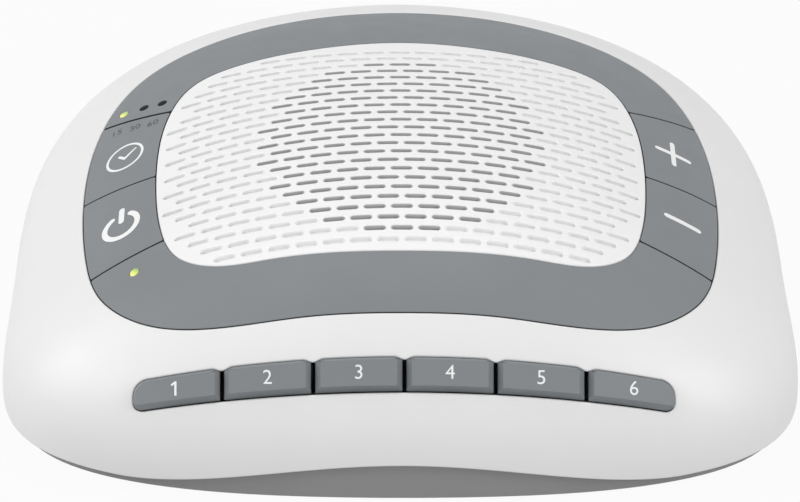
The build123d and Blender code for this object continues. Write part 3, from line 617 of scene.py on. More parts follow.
def row_surface(across, up):
    """How far out of the row's plane the housing lies at places along the row."""
    across, up = np.broadcast_arrays(np.asarray(across, float), up)
    low, high = np.full(across.shape, -16.0), np.full(across.shape, 5.0)
    for _ in range(26):
        middle = (low + high) / 2
        point = row_point(across, up, middle)
        under = height(point[..., 0], point[..., 1]) > point[..., 2]
        low, high = np.where(under, middle, low), np.where(under, high, middle)
    return (low + high) / 2


def row_arc(across, radius):
    return np.sqrt(radius**2 - np.asarray(across, float) ** 2) - radius - ROW_DROP


def row_middle(across):
    return (row_arc(across, ROW_RADIUS_REAR) + row_arc(across, ROW_RADIUS_FRONT)) / 2


def row_notch(across):
    """How far the row's rear edge dips beside the gaps between the keys."""
    gaps = (np.arange(1, CAP_COUNT) - CAP_COUNT / 2) * ROW_PITCH_X
    away = np.min(np.abs(gaps - across)) - CAP_GAP / 2
    return NOTCH_DEPTH * min(max(1 - away / NOTCH_REACH, 0), 1)


def row_outline(low, high, half_width, radii, count=0, front=0.0, rear=0.0, notched=False):
    """Outline of a stretch of the row, clockwise from its rear left corner, its corners rounded.

    Radii are of the rear left, rear right, front right and front left corners. Front and rear pull
    those long sides in. A count asks for evenly spaced points."""
    def side(x, way):
        if way > 0:
            dip = row_notch(x) if notched else 0
            return float(row_arc(x, ROW_RADIUS_REAR)) + half_width - rear - dip
        return float(row_arc(x, ROW_RADIUS_FRONT)) - half_width + front

    corners = [(low, 1, radii[0]), (high, 1, radii[1]), (high, -1, radii[2]), (low, -1, radii[3])]
    points = []
    for number, (x, way, radius) in enumerate(corners):
        inward = 1 if x == low else -1
        centre = np.array([x + inward * radius, side(x + inward * radius, way) - way * radius])
        start = {(1, 1): 180, (-1, 1): 90, (-1, -1): 0, (1, -1): 270}[(inward, way)]
        for step in range(7):
            angle = math.radians(start - 90 * step / 6)
            points.append(centre + radius * np.array([math.cos(angle), math.sin(angle)]))
        following = corners[(number + 1) % 4]
        if following[1] == way:
            reach = count or SIDE_POINTS
            for across in np.linspace(x + inward * radius, following[0] - inward * following[2], reach)[1:-1]:
                points.append(np.array([across, side(across, way)]))
    points = np.array(points)
    return resample(points, count) if count else points


END_RADII = [CAP_END_R_REAR, CAP_END_R_REAR, CAP_END_R_FRONT, CAP_END_R_FRONT]


def upper_housing():
    build = Build()
    opening = turned(ring_loop(RING_OUTER, 0.0, OPENING_POINTS), False)
    # The opening stands close behind the keys and a little off in front of them.
    reach = ROW_HALF_LENGTH + SLOT_REAR_GAP
    slot = row_outline(-reach, reach, CAP_WIDTH / 2 + SLOT_FRONT_GAP, END_RADII, SLOT_POINTS,
                       rear=SLOT_FRONT_GAP - SLOT_REAR_GAP, notched=True)
    edge = SHELL_EDGE
    # The slot's lip is rounded over a small width, so the surface stops that far from it.
    slot = turned(slot, True)
    slot_wide = grown(slot, edge)
    slot_out = row_surface(slot_wide[:, 0], slot_wide[:, 1])
    slot_hits = row_point(slot_wide[:, 0], slot_wide[:, 1], slot_out)
    angles = -np.linspace(0, 2 * math.pi, SKIRT_POINTS, endpoint=False)
    skirt = cloth.lower_edge(angles)
    reach = np.linalg.norm(skirt, axis=1)
    skirt_inner = skirt * ((reach - edge) / reach)[:, None]
    jack = circle(JACK_X, JACK_Z, JACK_HOLE_R, JACK_POINTS)
    jack_rim = np.column_stack([jack[:, 0], rear_depth(jack[:, 0], jack[:, 1])])
    loops = [skirt_inner, cloth.flat(grown(opening, -edge)), turned(cloth.flat(slot_hits[:, :2]), False),
             cloth.flat(jack_rim)]
    flats, faces = fill(loops, SHELL_GRID)
    points, normals = cloth.place(flats)
    first = build.add(points, normals)
    build.triangles(first, faces)

    # inlet hole in the rear, its wall running straight in
    n_jack = len(jack)
    last = first + sum(len(loop) for loop in loops[:3])
    inward = -np.column_stack([jack[:, 0] - JACK_X, np.zeros(n_jack), jack[:, 1] - JACK_Z]) / JACK_HOLE_R
    near = build.add(points[last - first:last - first + n_jack], inward)
    far = build.add(np.column_stack([jack[:, 0], np.full(n_jack, JACK_FACE_Y), jack[:, 1]]), inward)
    build.strip(near, far, n_jack)

    # lower edge: rounded, then a flat rim as wide as the wall and a short inner face
    n = len(skirt)
    edge_points, edge_normals = cloth.place(skirt)
    side = edge_normals * [1, 1, 0]
    side /= np.linalg.norm(side, axis=1)[:, None]
    last = first
    for step in range(1, ROUND_STEPS + 1):
        angle = math.pi / 2 * step / ROUND_STEPS
        row = edge_points - side * (edge * (1 - math.cos(angle)))
        row[:, 2] += edge * (1 - math.sin(angle))
        at = build.add(row, side * math.cos(angle) + np.array([0, 0, -math.sin(angle)]))
        build.strip(last, at, n)
        last = at
    rim = edge_points - side * WALL
    at = build.add(rim, np.tile([0, 0, -1.0], (n, 1)))
    build.strip(last, at, n)
    last = build.add(rim, -side)
    at = build.add(rim + [0, 0, SKIRT_WALL], -side)
    build.strip(last, at, n)

    # ring opening
    build.rim(first + n, opening, edge, WALL)

    # key slot, its wall running along the keys' travel
    outward = loop_normals(slot)
    wall = -(outward[:, :1] * ROW_ACROSS + outward[:, 1:] * ROW_UP)
    _, up = cloth.place(cloth.flat(slot_hits[:, :2]))
    rows = []
    for step in range(ROUND_STEPS + 1):
        angle = math.pi / 2 * step / ROUND_STEPS
        line = slot + outward * (edge * (1 - math.sin(angle)))
        row = row_point(line[:, 0], line[:, 1], slot_out - edge * (1 - math.cos(angle)))
        rows.append(build.add(row, up * math.cos(angle) + wall * math.sin(angle)))
    rows.append(build.add(row_point(slot[:, 0], slot[:, 1], slot_out - SLOT_WALL), wall))
    build.strips(rows, len(slot), flip=True)
    piece = build.make("upper_shell")
    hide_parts("upper_housing")
    return coat(piece, WHITE)


# ================================================================ ring
def crossing(loop, a, b):
    """Where a line from a to b crosses a loop, and the loop's index before it."""
    step = b - a
    best = None
    for i in range(len(loop)):
        p, q = loop[i], loop[(i + 1) % len(loop)]
        edge = q - p
        denominator = step[0] * edge[1] - step[1] * edge[0]
        if abs(denominator) < 1e-12:
            continue
        t = ((p[0] - a[0]) * edge[1] - (p[1] - a[1]) * edge[0]) / denominator
        s = ((p[0] - a[0]) * step[1] - (p[1] - a[1]) * step[0]) / denominator
        if 0 <= t <= 1 and 0 <= s < 1:
            best = (i, a + step * t)
    return best


def stretch(outer, inner, start, end):
    """Loop round the part of the ring between two lines, running along the outer loop from start to end."""
    (i0, p0), (i1, p1) = crossing(outer, *start), crossing(outer, *end)
    (j0, q0), (j1, q1) = crossing(inner, *start), crossing(inner, *end)
    n, m = len(outer), len(inner)
    out = [p0] + [outer[k % n] for k in range(i0 + 1, i1 + 1 + (n if i1 < i0 else 0))] + [p1]
    back = [q1] + [inner[k % m] for k in range(j1, j0 - (m if j0 > j1 else 0), -1)] + [q0]
    return rounded(np.array(out), np.array(back))


def rounded(out, back, radius=0.5):
    """Joins the two long sides with straight ends and small round corners."""
    joined = []
    for line, other in ((out, back), (back, out)):
        shorter, corner, next_corner = trim(line, radius), line[-1], other[0]
        along = (next_corner - corner) / np.linalg.norm(next_corner - corner)
        first, second = corner + along * radius, next_corner - along * radius
        joined += [shorter, bend(shorter[-1], corner, first),
                   resample(np.array([first, second]), 26, closed=False)[1:-1],
                   bend(second, next_corner, trim(other, radius)[0])]
    return np.vstack(joined)


def trim(line, amount):
    """A line shortened at both ends."""
    run = np.concatenate([[0], np.cumsum(np.linalg.norm(np.diff(line, axis=0), axis=1))])
    count = max(int(run[-1] / 0.7), 4)
    at = np.linspace(amount, run[-1] - amount, count)
    return np.stack([np.interp(at, run, line[:, k]) for k in range(2)], axis=-1)


def bend(a, corner, b):
    """Points of a round corner between a and b."""
    t = np.linspace(0, 1, 6)[1:-1, None]
    return a * (1 - t) ** 2 + 2 * corner * t * (1 - t) + b * t**2


def circle(x, y, radius, count=24):
    angle = np.linspace(0, 2 * math.pi, count, endpoint=False)
    return np.stack([x + radius * np.cos(angle), y + radius * np.sin(angle)], axis=-1)


RING_EDGE = 0.14
RING_SIDE, KEY_SIDE = 2.6, 2.2     # depths of the arcs' and the keys' upright sides
FLOOR_DEPTH, FLOOR_OVERLAP = 4.0, 0.1
SEAM_REACH = 8                     # a seam's line runs on past both outlines


def seam_lines(seam, side, offset):
    """A seam's line shifted along the ring, rearward when offset is above zero."""
    outer, inner = np.array(seam[0], float), np.array(seam[1], float)
    along = (outer - inner) / np.linalg.norm(outer - inner)
    across = np.array([-along[1], along[0]]) * offset
    a, b = outer + along * SEAM_REACH + across, inner - along * SEAM_REACH + across
    flip = np.array([side, 1])
    return a * flip, b * flip


def ring_outlines(gap):
    """The ring's outer and inner outline, each drawn in by a gap."""
    return ring_loop(RING_OUTER, -gap, RING_POINTS), ring_loop(RING_INNER, gap, INNER_POINTS)


def ring_pieces():
    outer, inner = ring_outlines(LOOK_GAP)
    key_outlines = ring_outlines(KEY_LOOK_GAP)
    half = SEAM_GAP / 2
    build = Build()
    rear = [seam_lines(SEAM_REAR, -1, TIMER_SEAM_GAP / 2), seam_lines(SEAM_REAR, 1, half)]
    front = [seam_lines(SEAM_FRONT, 1, -half), seam_lines(SEAM_FRONT, -1, -half)]
    for lines, lenses in ((rear, TIMER_LENSES_AT), (front, [POWER_LENS_AT])):
        holes = [circle(x, y, LENS_R + LENS_CLEAR) for x, y in lenses]
        tile(build, stretch(outer, inner, *lines), holes, RING_SIDE, RING_EDGE, RING_GRID)
    # floor under the keys and the gaps
    points, faces = fill([grown(outer, FLOOR_OVERLAP), grown(inner, -FLOOR_OVERLAP)], FLOOR_GRID)
    build.triangles(build.add(*on_form(points, FLOOR_DEPTH)), faces)
    ring = build.make("ring_arcs")
    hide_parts("control_ring")
    # the arcs' walls in the seams get the near-black painted shade
    coat(ring, GREY, PAINTED_SEAM_SHADE)

    keys = {"timer_button": (SEAM_REAR, SEAM_MIDDLE, -1),
            "power_button": (SEAM_MIDDLE, SEAM_FRONT, -1),
            "volume_up_button": (SEAM_REAR, SEAM_MIDDLE, 1),
            "volume_down_button": (SEAM_MIDDLE, SEAM_FRONT, 1)}
    for node, (rear_seam, front_seam, side) in keys.items():
        rear_half = TIMER_SEAM_GAP / 2 if node == "timer_button" else half
        lines = [seam_lines(rear_seam, side, -rear_half), seam_lines(front_seam, side, half)]
        if side < 0:
            lines.reverse()
        loop = stretch(*key_outlines, *lines)
        key = tile(Build(), loop, [], KEY_SIDE, RING_EDGE, KEY_GRID).make(node + "_face", node)
        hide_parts(node)
        # the key's walls in the seams get the near-black painted shade
        coat(key, GREY, PAINTED_SEAM_SHADE)


# ================================================================ symbols and numerals
PRINT = -0.03


def dense(loop, spacing=0.35):
    """A closed outline with points close enough to follow the form."""
    length = np.sum(np.linalg.norm(np.roll(loop, -1, axis=0) - loop, axis=1))
    return resample(loop, max(int(length / spacing), 12))


def laid(points, centre):
    """Plan places of a flat drawing that is laid on the form at a centre."""
    _, up = on_form(np.array([centre], float))
    slopes = -up[0, :2] / up[0, 2]
    return np.asarray(centre) + np.asarray(points, float) / np.sqrt(1 + slopes**2)


def printed(name, centre, loops, body):
    """Flat print on the form: each entry is an outer loop and its holes, drawn round a centre."""
    build = Build()
    for outer, holes in loops:
        rings = [laid(dense(np.asarray(loop)), centre) for loop in [outer] + holes]
        points, faces = fill(rings, PRINT_GRID)
        build.triangles(build.add(*on_form(points, PRINT)), faces)
    coat(build.make(name, body), PRINT_WHITE)


def bar(centre, length, width, angle):
    """Bar with rounded ends."""
    r = width / 2
    points = []
    for end, start in ((1, 90), (-1, 270)):
        for step in range(9):
            a = math.radians(start - 180 * step / 8)
            points.append((end * (length / 2 - r) + r * math.cos(a), r * math.sin(a)))
    c, s = math.cos(math.radians(angle)), math.sin(math.radians(angle))
    return np.array([(centre[0] + c * x - s * y, centre[1] + s * x + c * y) for x, y in points])


def arc_band(radius, width, start, end, count=48):
    """Part of a round line with round ends, angles in degrees anticlockwise."""
    angles = np.radians(np.linspace(start, end, count))
    ways = np.stack([np.cos(angles), np.sin(angles)], axis=-1)

    def cap(angle, turn):
        swing = angle + turn * np.linspace(0, math.pi, 7)[1:-1]
        middle = radius * np.array([math.cos(angle), math.sin(angle)])
        return middle + width / 2 * np.stack([np.cos(swing), np.sin(swing)], axis=-1)

    return np.vstack([(radius + width / 2) * ways, cap(angles[-1], 1),
                      (radius - width / 2) * ways[::-1], cap(angles[0], -1)[::-1]])


def glyph_loops(text, size, centre):
    """Points and faces of plain characters laid in plan round a centre."""
    curve = bpy.data.curves.new("glyphs", "FONT")
    curve.body, curve.size = text, size
    curve.align_x, curve.align_y = "CENTER", "CENTER"
    curve.resolution_u = 6
    holder = bpy.data.objects.new("glyphs", curve)
    bpy.context.collection.objects.link(holder)
    bpy.context.view_layer.update()
    mesh = bpy.data.meshes.new_from_object(holder)
    points = np.array([tuple(v.co)[:2] for v in mesh.vertices]) + centre
    faces = [list(p.vertices) for p in mesh.polygons]
    bpy.data.objects.remove(holder)
    bpy.data.curves.remove(curve)
    return points, faces


def printed_text(name, places, body):
    """Dark numerals printed on the form."""
    build = Build()
    for text, centre in places.items():
        points, faces = glyph_loops(text, MINUTES_SIZE, centre)
        first = build.add(*on_form(points, PRINT))
        build.faces += [[first + i for i in face] for face in faces]
    coat(build.make(name, body), PRINT_GREY)


CLOCK_AT, POWER_AT = (-57.2, -0.15), (-57.0, -24.9)
PLUS_AT, MINUS_AT = (56.8, 0.8), (57.4, -23.3)
SYMBOL_R = 4.45
CLOCK_LINE, HAND_WIDTHS = 0.6, (0.42, 0.7)
HAND_PLACES = ((2.55, 1.75), (-0.05, -0.55), (-1.35, 0.85))   # long tip, middle, short tip
POWER_LINE, POWER_ARC = 1.3, (124, 418)
STROKE_AT, STROKE_LENGTH = (0, 3.4), 5.25
PLUS_SIZE, PLUS_LINE = 8.75, 1.15
MINUS_SIZE, MINUS_LINE, MINUS_TILT = 8.8, 1.35, -3.5
MINUTES_AT = {"15": (-59.4, 10.8), "30": (-55.5, 9.7), "60": (-51.7, 8.6)}
MINUTES_SIZE, NUMERAL_SIZE, NUMERAL_RISE = 2.5, 4.0, 0.03
ONE_OUTLINE = [(-0.75, 0.75), (0.05, 1.4), (0.45, 1.4), (0.45, -1.4), (0.0, -1.4), (0.0, 0.85),
               (-0.5, 0.45)]
ONE_FACES = [[0, 6, 5, 1], [1, 5, 4, 3, 2]]


def round_end(middle, direction, width):
    """Half circle round the end of a stroke, anticlockwise."""
    start = math.atan2(direction[1], direction[0]) - math.pi / 2
    angles = np.linspace(start, start + math.pi, 9)
    return np.asarray(middle) + width / 2 * np.stack([np.cos(angles), np.sin(angles)], axis=-1)


def hands_loop(long_tip, middle, short_tip, long_width, short_width):
    """Outline of a clock's two hands, joined at the middle."""
    long_tip, middle, short_tip = (np.array(p, float) for p in (long_tip, middle, short_tip))
    one = (long_tip - middle) / np.linalg.norm(long_tip - middle)
    two = (short_tip - middle) / np.linalg.norm(short_tip - middle)
    inner, outer = one + two, -(one + two)
    half = math.acos(float(one @ two)) / 2
    inner = inner / np.linalg.norm(inner) * short_width / 2 / math.sin(half)
    outer = outer / np.linalg.norm(outer) * short_width / 2 / math.sin(half)
    return np.vstack([round_end(long_tip, one, long_width), middle + inner,
                      round_end(short_tip, two, short_width), middle + outer])


def cross_loop(length, width):
    """Outline of an upright cross with round ends."""
    corner = np.array([width / 2, width / 2])
    loop = []
    for turn in range(4):
        angle = turn * math.pi / 2
        way = np.array([math.cos(angle), math.sin(angle)])
        matrix = np.array([[way[0], way[1]], [-way[1], way[0]]])
        loop += [round_end(way * (length - width) / 2, way, width), (corner @ matrix)[None]]
    return np.vstack(loop)


def symbols():
    clock = [(circle(0, 0, SYMBOL_R, 60), [circle(0, 0, SYMBOL_R - CLOCK_LINE, 56)]),
             (hands_loop(*HAND_PLACES, *HAND_WIDTHS), [])]
    power = [(arc_band(SYMBOL_R - POWER_LINE / 2, POWER_LINE, *POWER_ARC), []),
             (bar(STROKE_AT, STROKE_LENGTH, POWER_LINE, 90), [])]
    printed("clock_symbol", CLOCK_AT, clock, "timer_button")
    printed("power_symbol", POWER_AT, power, "power_button")
    printed("plus_symbol", PLUS_AT, [(cross_loop(PLUS_SIZE, PLUS_LINE), [])], "volume_up_button")
    printed("minus_symbol", MINUS_AT, [(bar((0, 0), MINUS_SIZE, MINUS_LINE, MINUS_TILT), [])],
            "volume_down_button")
    printed_text("timer_numerals", MINUTES_AT, "timer_button")


# ================================================================ lamps
def lamps():
    spots = [("timer_lens_15", TIMER_LENSES_AT[0], True), ("timer_lens_30", TIMER_LENSES_AT[1], False),
             ("timer_lens_60", TIMER_LENSES_AT[2], False), ("power_lens", POWER_LENS_AT, True)]
    steps, count = 5, 28
    for node, (x, y), lit in spots:
        build, rows = Build(), []
        for step in range(steps + 1):
            angle = math.pi / 2 * (steps - step) / steps
            loop = circle(x, y, max(LENS_R * math.sin(angle), 0.02), count)
            points, up = on_form(loop, -LENS_RISE * math.cos(angle))
            tilt = np.column_stack([(loop - [x, y]) * LENS_BULGE, np.zeros(count)])
            rows.append(build.add(points, up + tilt))
        build.strips(rows, count)
        build.faces.append([rows[-1] + i for i in range(count)])
        loop = circle(x, y, LENS_R, count)
        at = build.add(on_form(loop, LENS_DEPTH)[0], np.column_stack([loop - [x, y], np.zeros(count)]))
        build.strip(0, at, count, flip=True)
        piece = build.make(node + "_window")
        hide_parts(node)
        coat(piece, LAMP_LIT if lit else LAMP_DARK)


# ================================================================ grille
def in_border(x, y, outline_points):
    half_x, half_y = SLOT_LENGTH / 2 + SLOT_BORDER, SLOT_WIDTH / 2 + SLOT_BORDER
    corners = np.array([(x + dx, y + dy) for dx in (-half_x, half_x) for dy in (-half_y, half_y)])
    return bool(np.all(inside(corners, [outline_points])))


def slot_places():
    right_half = [(x * BORDER_STRETCH, y + BORDER_SHIFT * math.copysign(1, y)) for x, y in RING_INNER]
    outline_points = np.array(right_half + [(-x, y) for x, y in reversed(right_half[1:-1])])
    places = []
    for row in range(-SLOT_ROWS_FRONT, SLOT_ROWS_REAR + 1):
        y = GRILLE_MID_Y + row * ROW_PITCH
        shift = 0.5 if row % 2 else 0.0
        count = int(HALF_WIDTH / SLOT_PITCH)
        for number in range(-count, count + 1):
            x = (number + shift) * SLOT_PITCH
            if in_border(x, y, outline_points):
                places.append((x, y))
    return places


def grille():
    build = Build()
    outer = ring_loop(RING_INNER, -LOOK_GAP, GRILLE_POINTS)
    slots, depths = [], []
    for x, y in slot_places():
        slots.append(bar((x, y), SLOT_LENGTH - SLOT_WIDTH + SLOT_THROAT, SLOT_THROAT, 0))
        is_open = math.hypot(abs(x) + SLOT_LENGTH / 2, y - GRILLE_MID_Y) < OPEN_R
        depths.append(OPEN_LIP if is_open else BLIND_DEPTH)
    outer = turned(outer, True)
    lip = SLOT_LIP
    holes = [turned(slot, False) for slot in slots]
    points, faces = fill([grown(outer, -GRILLE_EDGE)] + [grown(hole, -lip) for hole in holes],
                         GRILLE_GRID)
    first = build.add(*on_form(points))
    build.triangles(first, faces)
    build.rim(first, outer, GRILLE_EDGE, GRILLE_SKIN)
    # all slots at once: lip, wall and, where blind, a floor that rounds into the wall
    size = len(holes[0])
    every = np.vstack(holes)
    outward = np.vstack([loop_normals(hole) for hole in holes])
    side = np.column_stack([outward, np.zeros(len(every))])
    rows = []
    for angle in (math.pi / 6, math.pi / 3, math.pi / 2):
        row, up = on_form(every + outward * (lip * (math.sin(angle) - 1)), lip * (1 - math.cos(angle)))
        rows.append(build.add(row, up * math.cos(angle) + side * math.sin(angle)))
    depth = np.repeat(depths, size)
    _, up = on_form(every)
    steep = 1 / np.maximum(up[:, 2], 0.2)
    for reach, angle in ((0.0, 0.0), (0.3, math.pi / 4), (1.0, math.pi / 2)):
        row, _ = on_form(every + outward * FLOOR_ROUND * reach)
        fall = (depth - FLOOR_ROUND * (1 - math.sin(angle) ** 2)) * steep
        row[:, 2] -= fall
        rows.append(build.add(row, side * math.cos(angle) + up * math.sin(angle)))
    start = first + len(outer)
    for number in range(len(holes)):
        offset = number * size
        chain = [start + offset] + [row + offset for row in rows]
        blind = depths[number] == BLIND_DEPTH
        build.strips(chain if blind else chain[:5], size)
        if blind:
            build.faces.append([chain[-1] + i for i in range(size)])
        else:
            # the open slot's wall gets the darker grey, a painted shade
            build.painted_shade_runs.append((len(build.faces) - size, len(build.faces)))
    piece = build.make("grille_plate")
    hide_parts("speaker_grille")
    coat(piece, GRILLE_WHITE, SLOT_SHADE)


# ================================================================ sound keys
def cap_limits(number):
    low = (number - CAP_COUNT / 2) * ROW_PITCH_X + CAP_GAP / 2
    high = low + ROW_PITCH_X - CAP_GAP
    if number == 0:
        low = -ROW_HALF_LENGTH
    if number == CAP_COUNT - 1:
        high = ROW_HALF_LENGTH
    return low, high


FRONT_BEVEL, SIDE_BEVEL, REAR_BEVEL = 1.3, 1.15, 0.35
FRONT_FALL, SIDE_FALL = math.radians(60), math.radians(52)
CORNER_R, TOP_CORNER_R = 0.3, 0.15
CAP_SOFT, CAP_SIDE = 0.12, 4.0     # roundness of the ridges, and height of the sides


def cap_bevel_drop(foot, low, high, first_end, last_end):
    """How far the bevel falls to the cap's side at points of its outline."""
    along_row = foot[:, 1] - row_middle(foot[:, 0])
    drop = np.full(len(foot), REAR_BEVEL)
    drop = np.maximum(drop, (FRONT_BEVEL - (along_row + CAP_WIDTH / 2)) * math.tan(FRONT_FALL))
    if not first_end:
        drop = np.maximum(drop, (SIDE_BEVEL - (foot[:, 0] - low)) * math.tan(SIDE_FALL))
    if not last_end:
        drop = np.maximum(drop, (SIDE_BEVEL - (high - foot[:, 0])) * math.tan(SIDE_FALL))
    return drop


def sound_caps():
    for number in range(CAP_COUNT):
        low, high = cap_limits(number)
        first_end, last_end = number == 0, number == CAP_COUNT - 1
        radii = [END_RADII[0] if first_end else CORNER_R, END_RADII[1] if last_end else CORNER_R,
                 END_RADII[2] if last_end else CORNER_R, END_RADII[3] if first_end else CORNER_R]
        foot = row_outline(low, high, CAP_WIDTH / 2, radii, notched=True)
        left_in, right_in = REAR_BEVEL if first_end else SIDE_BEVEL, REAR_BEVEL if last_end else SIDE_BEVEL
        top_radii = [max(radius - bevel, TOP_CORNER_R)
                     for radius, bevel in zip(radii, (REAR_BEVEL, REAR_BEVEL, FRONT_BEVEL, FRONT_BEVEL))]
        top = row_outline(low + left_in, high - right_in, CAP_WIDTH / 2, top_radii,
                          front=FRONT_BEVEL, rear=REAR_BEVEL)
        ends = row_surface(np.array([low, high]), row_middle([low, high])) + CAP_PROUD
        slope = (ends[1] - ends[0]) / (high - low)

        def level(x):
            return ends[0] + slope * (x - low)

        up = ROW_OUT - slope * ROW_ACROSS
        up = up / np.linalg.norm(up)
        outward = loop_normals(foot)
        wall = outward[:, :1] * ROW_ACROSS + outward[:, 1:] * ROW_UP
        drop = cap_bevel_drop(foot, low, high, first_end, last_end)
        rim = row_point(foot[:, 0], foot[:, 1], level(foot[:, 0]) - drop)
        crest = row_point(top[:, 0], top[:, 1], level(top[:, 0]))
        tangent = np.roll(rim, -1, axis=0) - np.roll(rim, 1, axis=0)
        bevel = np.cross(crest - rim, tangent)
        bevel /= np.maximum(np.linalg.norm(bevel, axis=1), 1e-9)[:, None]
        rows = [(row_point(foot[:, 0], foot[:, 1], level(foot[:, 0]) - CAP_SIDE), wall),
                (rim - ROW_OUT * CAP_SOFT, wall),
                (rim + (crest - rim) * CAP_SOFT, bevel),
                (crest - (crest - rim) * CAP_SOFT, bevel),
                (crest + (crest.mean(0) - crest) * 0.01, np.tile(up, (len(top), 1)))]
        build = Build()
        firsts = [build.add(row, normals) for row, normals in rows]
        build.strips(firsts, len(foot), flip=True)
        build.faces.append([firsts[-1] + i for i in range(len(top))][::-1])
        node = f"sound_button_{number + 1}"
        piece = build.make(node + "_cap", node)
        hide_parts(node)
        coat(piece, CAP_GREY)
        numeral(number, (low + left_in + high - right_in) / 2, level, up, node)


def numeral(number, middle, level, up, node):
    """The key's number, standing a hair above its top."""
    centre = (middle, float(row_middle(middle)) + (FRONT_BEVEL - REAR_BEVEL) / 2)
    if number == 0:
        points, faces = np.array(ONE_OUTLINE) + centre, ONE_FACES
    else:
        points, faces = glyph_loops(str(number + 1), NUMERAL_SIZE, centre)
    digit = Build()
    digit.add(row_point(points[:, 0], points[:, 1], level(points[:, 0]) + NUMERAL_RISE),
              np.tile(up, (len(points), 1)))
    digit.faces = faces
    coat(digit.make(f"numeral_{number + 1}", node), PRINT_WHITE)


upper_housing()
ring_pieces()
symbols()
lamps()
grille()
sound_caps()

# ================================================================ pieces kept from the frame
RUBBER = moulded("soft_rubber", (0.05, 0.05, 0.05), 0.75, grain=0.6, relief=0.01, mottle=0.1)
SILICONE = moulded("silicone", (0.45, 0.45, 0.45), 0.6, grain=0.6, relief=0.004)
BOARD = moulded("solder_mask", (0.03, 0.16, 0.07), 0.35, grain=2.0, relief=0.01, mottle=0.1)
CONE_PAPER = moulded("cone_paper", (0.03, 0.03, 0.03), 0.85, grain=1.2, relief=0.05, mottle=0.2)
INLET = moulded("inlet_plastic", (0.02, 0.02, 0.02), 0.35, grain=0.5, relief=0.004)
CELL = moulded("cell_wrap", (0.06, 0.06, 0.065), 0.3, grain=3.0, relief=0.002)


def metal(name, colour, roughness, streak=0.4):
    """Brushed or plated metal with fine streaks."""
    made, tree, shader, place = material(name, colour, roughness, 1.0)
    stretch_node = tree.nodes.new("ShaderNodeVectorMath")
    stretch_node.operation = "MULTIPLY"
    stretch_node.inputs[1].default_value = (1, 1, 0.1)
    tree.links.new(place, stretch_node.inputs[0])
    lines = noise(tree, stretch_node.outputs[0], streak, 4.0)
    sheen = spread(tree, lines, 0.3, 0.7, roughness - 0.08, roughness + 0.12)
    tree.links.new(sheen, shader.inputs["Roughness"])
    bump(tree, shader, lines, 0.004)
    return made


STEEL = metal("plated_steel", (0.55, 0.55, 0.56), 0.35)
FRAME_STEEL = metal("pressed_steel", (0.30, 0.30, 0.31), 0.45)
FERRITE = moulded("ferrite", (0.04, 0.04, 0.04), 0.6, grain=1.0, relief=0.03)

FINISHES = [(BASE_GREY, "lower_housing", "battery_cover"), (RUBBER, "rubber_feet"),
            (SILICONE, "sound_key_mat", "left_key_mat", "right_key_mat"),
            (BOARD, "sound_key_board", "left_key_board", "right_key_board", "main_board"),
            (CONE_PAPER, "speaker_cone"), (FRAME_STEEL, "speaker_frame"), (FERRITE, "speaker_magnet"),
            (CELL, "batteries"), (STEEL, "battery_contacts", "housing_screws", "speaker_screws"),
            (INLET, "power_inlet")]
for made, *nodes in FINISHES:
    for node in nodes:
        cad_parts[node].data.materials.clear()
        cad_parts[node].data.materials.append(made)

# ================================================================ camera
VIEW_ELEVATION = math.radians(31.0)
VIEW_TURN = math.radians(0.69)
VIEW_ROLL = math.radians(0.422)
VIEW_DISTANCE = 963.1
VIEW_TARGET = Vector((0.0, -2.36, 16.9))
FOCAL_PIXELS = 4590.0
IMAGE_WIDTH, IMAGE_HEIGHT = 800, 502
SENSOR = 36.0
CENTRE_PIXEL = (399.67, 250.62)

forward = Vector((math.sin(VIEW_TURN) * math.cos(VIEW_ELEVATION),
                  math.cos(VIEW_TURN) * math.cos(VIEW_ELEVATION), -math.sin(VIEW_ELEVATION)))
right = Vector((math.cos(VIEW_TURN), -math.sin(VIEW_TURN), 0))
up = right.cross(forward)
rolled_right = right * math.cos(VIEW_ROLL) + up * math.sin(VIEW_ROLL)
rolled_up = up * math.cos(VIEW_ROLL) - right * math.sin(VIEW_ROLL)
camera_data = bpy.data.cameras.new("camera")
camera = bpy.data.objects.new("camera", camera_data)
bpy.context.collection.objects.link(camera)
camera_data.sensor_width = SENSOR
camera_data.lens = FOCAL_PIXELS / IMAGE_WIDTH * SENSOR
camera_data.shift_x = (IMAGE_WIDTH / 2 - CENTRE_PIXEL[0]) / IMAGE_WIDTH
camera_data.shift_y = (CENTRE_PIXEL[1] - IMAGE_HEIGHT / 2) / IMAGE_WIDTH
camera_data.clip_start, camera_data.clip_end = 0.05, 20
turn = Matrix((rolled_right, rolled_up, -forward)).transposed()
camera.matrix_world = Matrix.Translation((VIEW_TARGET - forward * VIEW_DISTANCE) * MM) @ turn.to_4x4()
bpy.context.scene.camera = camera

# ================================================================ light and floor
scene = bpy.context.scene
scene.view_settings.view_transform = "Standard"

world = bpy.data.worlds.new("studio")
scene.world = world
world.use_nodes = True
tree = world.node_tree
tree.nodes.clear()
WORLD_LEVEL = 0.5


def backdrop_white(tree, lit):
    """Seen directly or in a reflection the backdrop is plain white; otherwise it gives its own light."""
    rays = tree.nodes.new("ShaderNodeLightPath")
    seen = rays.outputs["Is Camera Ray"]
    for kind in ("Is Glossy Ray", "Is Transmission Ray"):
        either = tree.nodes.new("ShaderNodeMath")
        either.operation = "MAXIMUM"
        tree.links.new(seen, either.inputs[0])
        tree.links.new(rays.outputs[kind], either.inputs[1])
        seen = either.outputs[0]
    mix = tree.nodes.new("ShaderNodeMixShader")
    tree.links.new(seen, mix.inputs["Fac"])
    tree.links.new(lit, mix.inputs[1])
    return mix


def background(tree, strength):
    node = tree.nodes.new("ShaderNodeBackground")
    node.inputs["Color"].default_value = (1, 1, 1, 1)
    node.inputs["Strength"].default_value = strength
    return node.outputs[0]


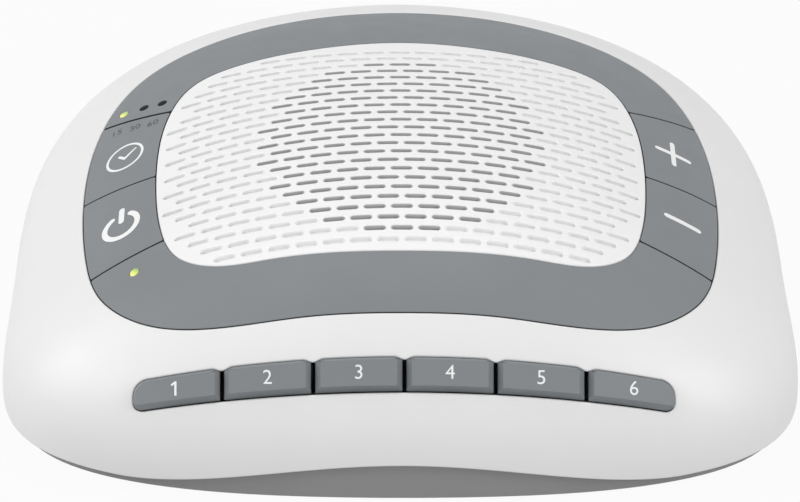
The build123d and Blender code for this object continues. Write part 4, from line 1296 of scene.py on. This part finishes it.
soft, white = background(tree, WORLD_LEVEL), background(tree, 1.0)
mix = backdrop_white(tree, soft)
tree.links.new(white, mix.inputs[2])
out = tree.nodes.new("ShaderNodeOutputWorld")
tree.links.new(mix.outputs[0], out.inputs["Surface"])


LAMP_AIM = Vector((0, -10, 20))


def lamp(name, place, size, watts):
    """Large soft studio lamp, its place in millimetres."""
    data = bpy.data.lights.new(name, "AREA")
    data.shape, data.size, data.energy = "DISK", size * MM, watts
    light = bpy.data.objects.new(name, data)
    bpy.context.collection.objects.link(light)
    light.location = Vector(place) * MM
    light.rotation_mode = "QUATERNION"
    light.rotation_quaternion = (LAMP_AIM - Vector(place)).to_track_quat("-Z", "Y")


lamp("overhead", (0, 150, 880), 700, 1.45)
lamp("left", (-850, 0, 450), 500, 2.6)
lamp("left_front", (-800, -450, 500), 500, 1.6)
lamp("right_front", (800, -450, 500), 500, 3.45)
lamp("low_front", (0, -900, 120), 400, 1.05)

floor_mesh = bpy.data.meshes.new("floor")
FLOOR_REACH, FLOOR_DROP = 3.0, 0.0002     # metres
FLOOR_GREY, FLOOR_GLOW = 0.4, 0.95
sides = [(-1, -1), (1, -1), (1, 1), (-1, 1)]
floor_mesh.from_pydata([(x * FLOOR_REACH, y * FLOOR_REACH, 0) for x, y in sides], [], [(0, 1, 2, 3)])
floor = bpy.data.objects.new("floor", floor_mesh)
bpy.context.collection.objects.link(floor)
floor.location.z = -FLOOR_DROP
floor_material = bpy.data.materials.new("floor_white")
floor_material.use_nodes = True
tree = floor_material.node_tree
shader = tree.nodes["Principled BSDF"]
shader.inputs["Base Color"].default_value = (FLOOR_GREY, FLOOR_GREY, FLOOR_GREY, 1)
shader.inputs["Roughness"].default_value = 0.9
glow = tree.nodes.new("ShaderNodeEmission")
glow.inputs["Strength"].default_value = 1.0
# The floor looks white and still shows a pale shadow.
share = tree.nodes.new("ShaderNodeMixShader")
share.inputs["Fac"].default_value = FLOOR_GLOW
tree.links.new(shader.outputs[0], share.inputs[1])
tree.links.new(glow.outputs[0], share.inputs[2])
mix = backdrop_white(tree, shader.outputs[0])
tree.links.new(share.outputs[0], mix.inputs[2])
tree.links.new(mix.outputs[0], tree.nodes["Material Output"].inputs["Surface"])
floor_mesh.materials.append(floor_material)
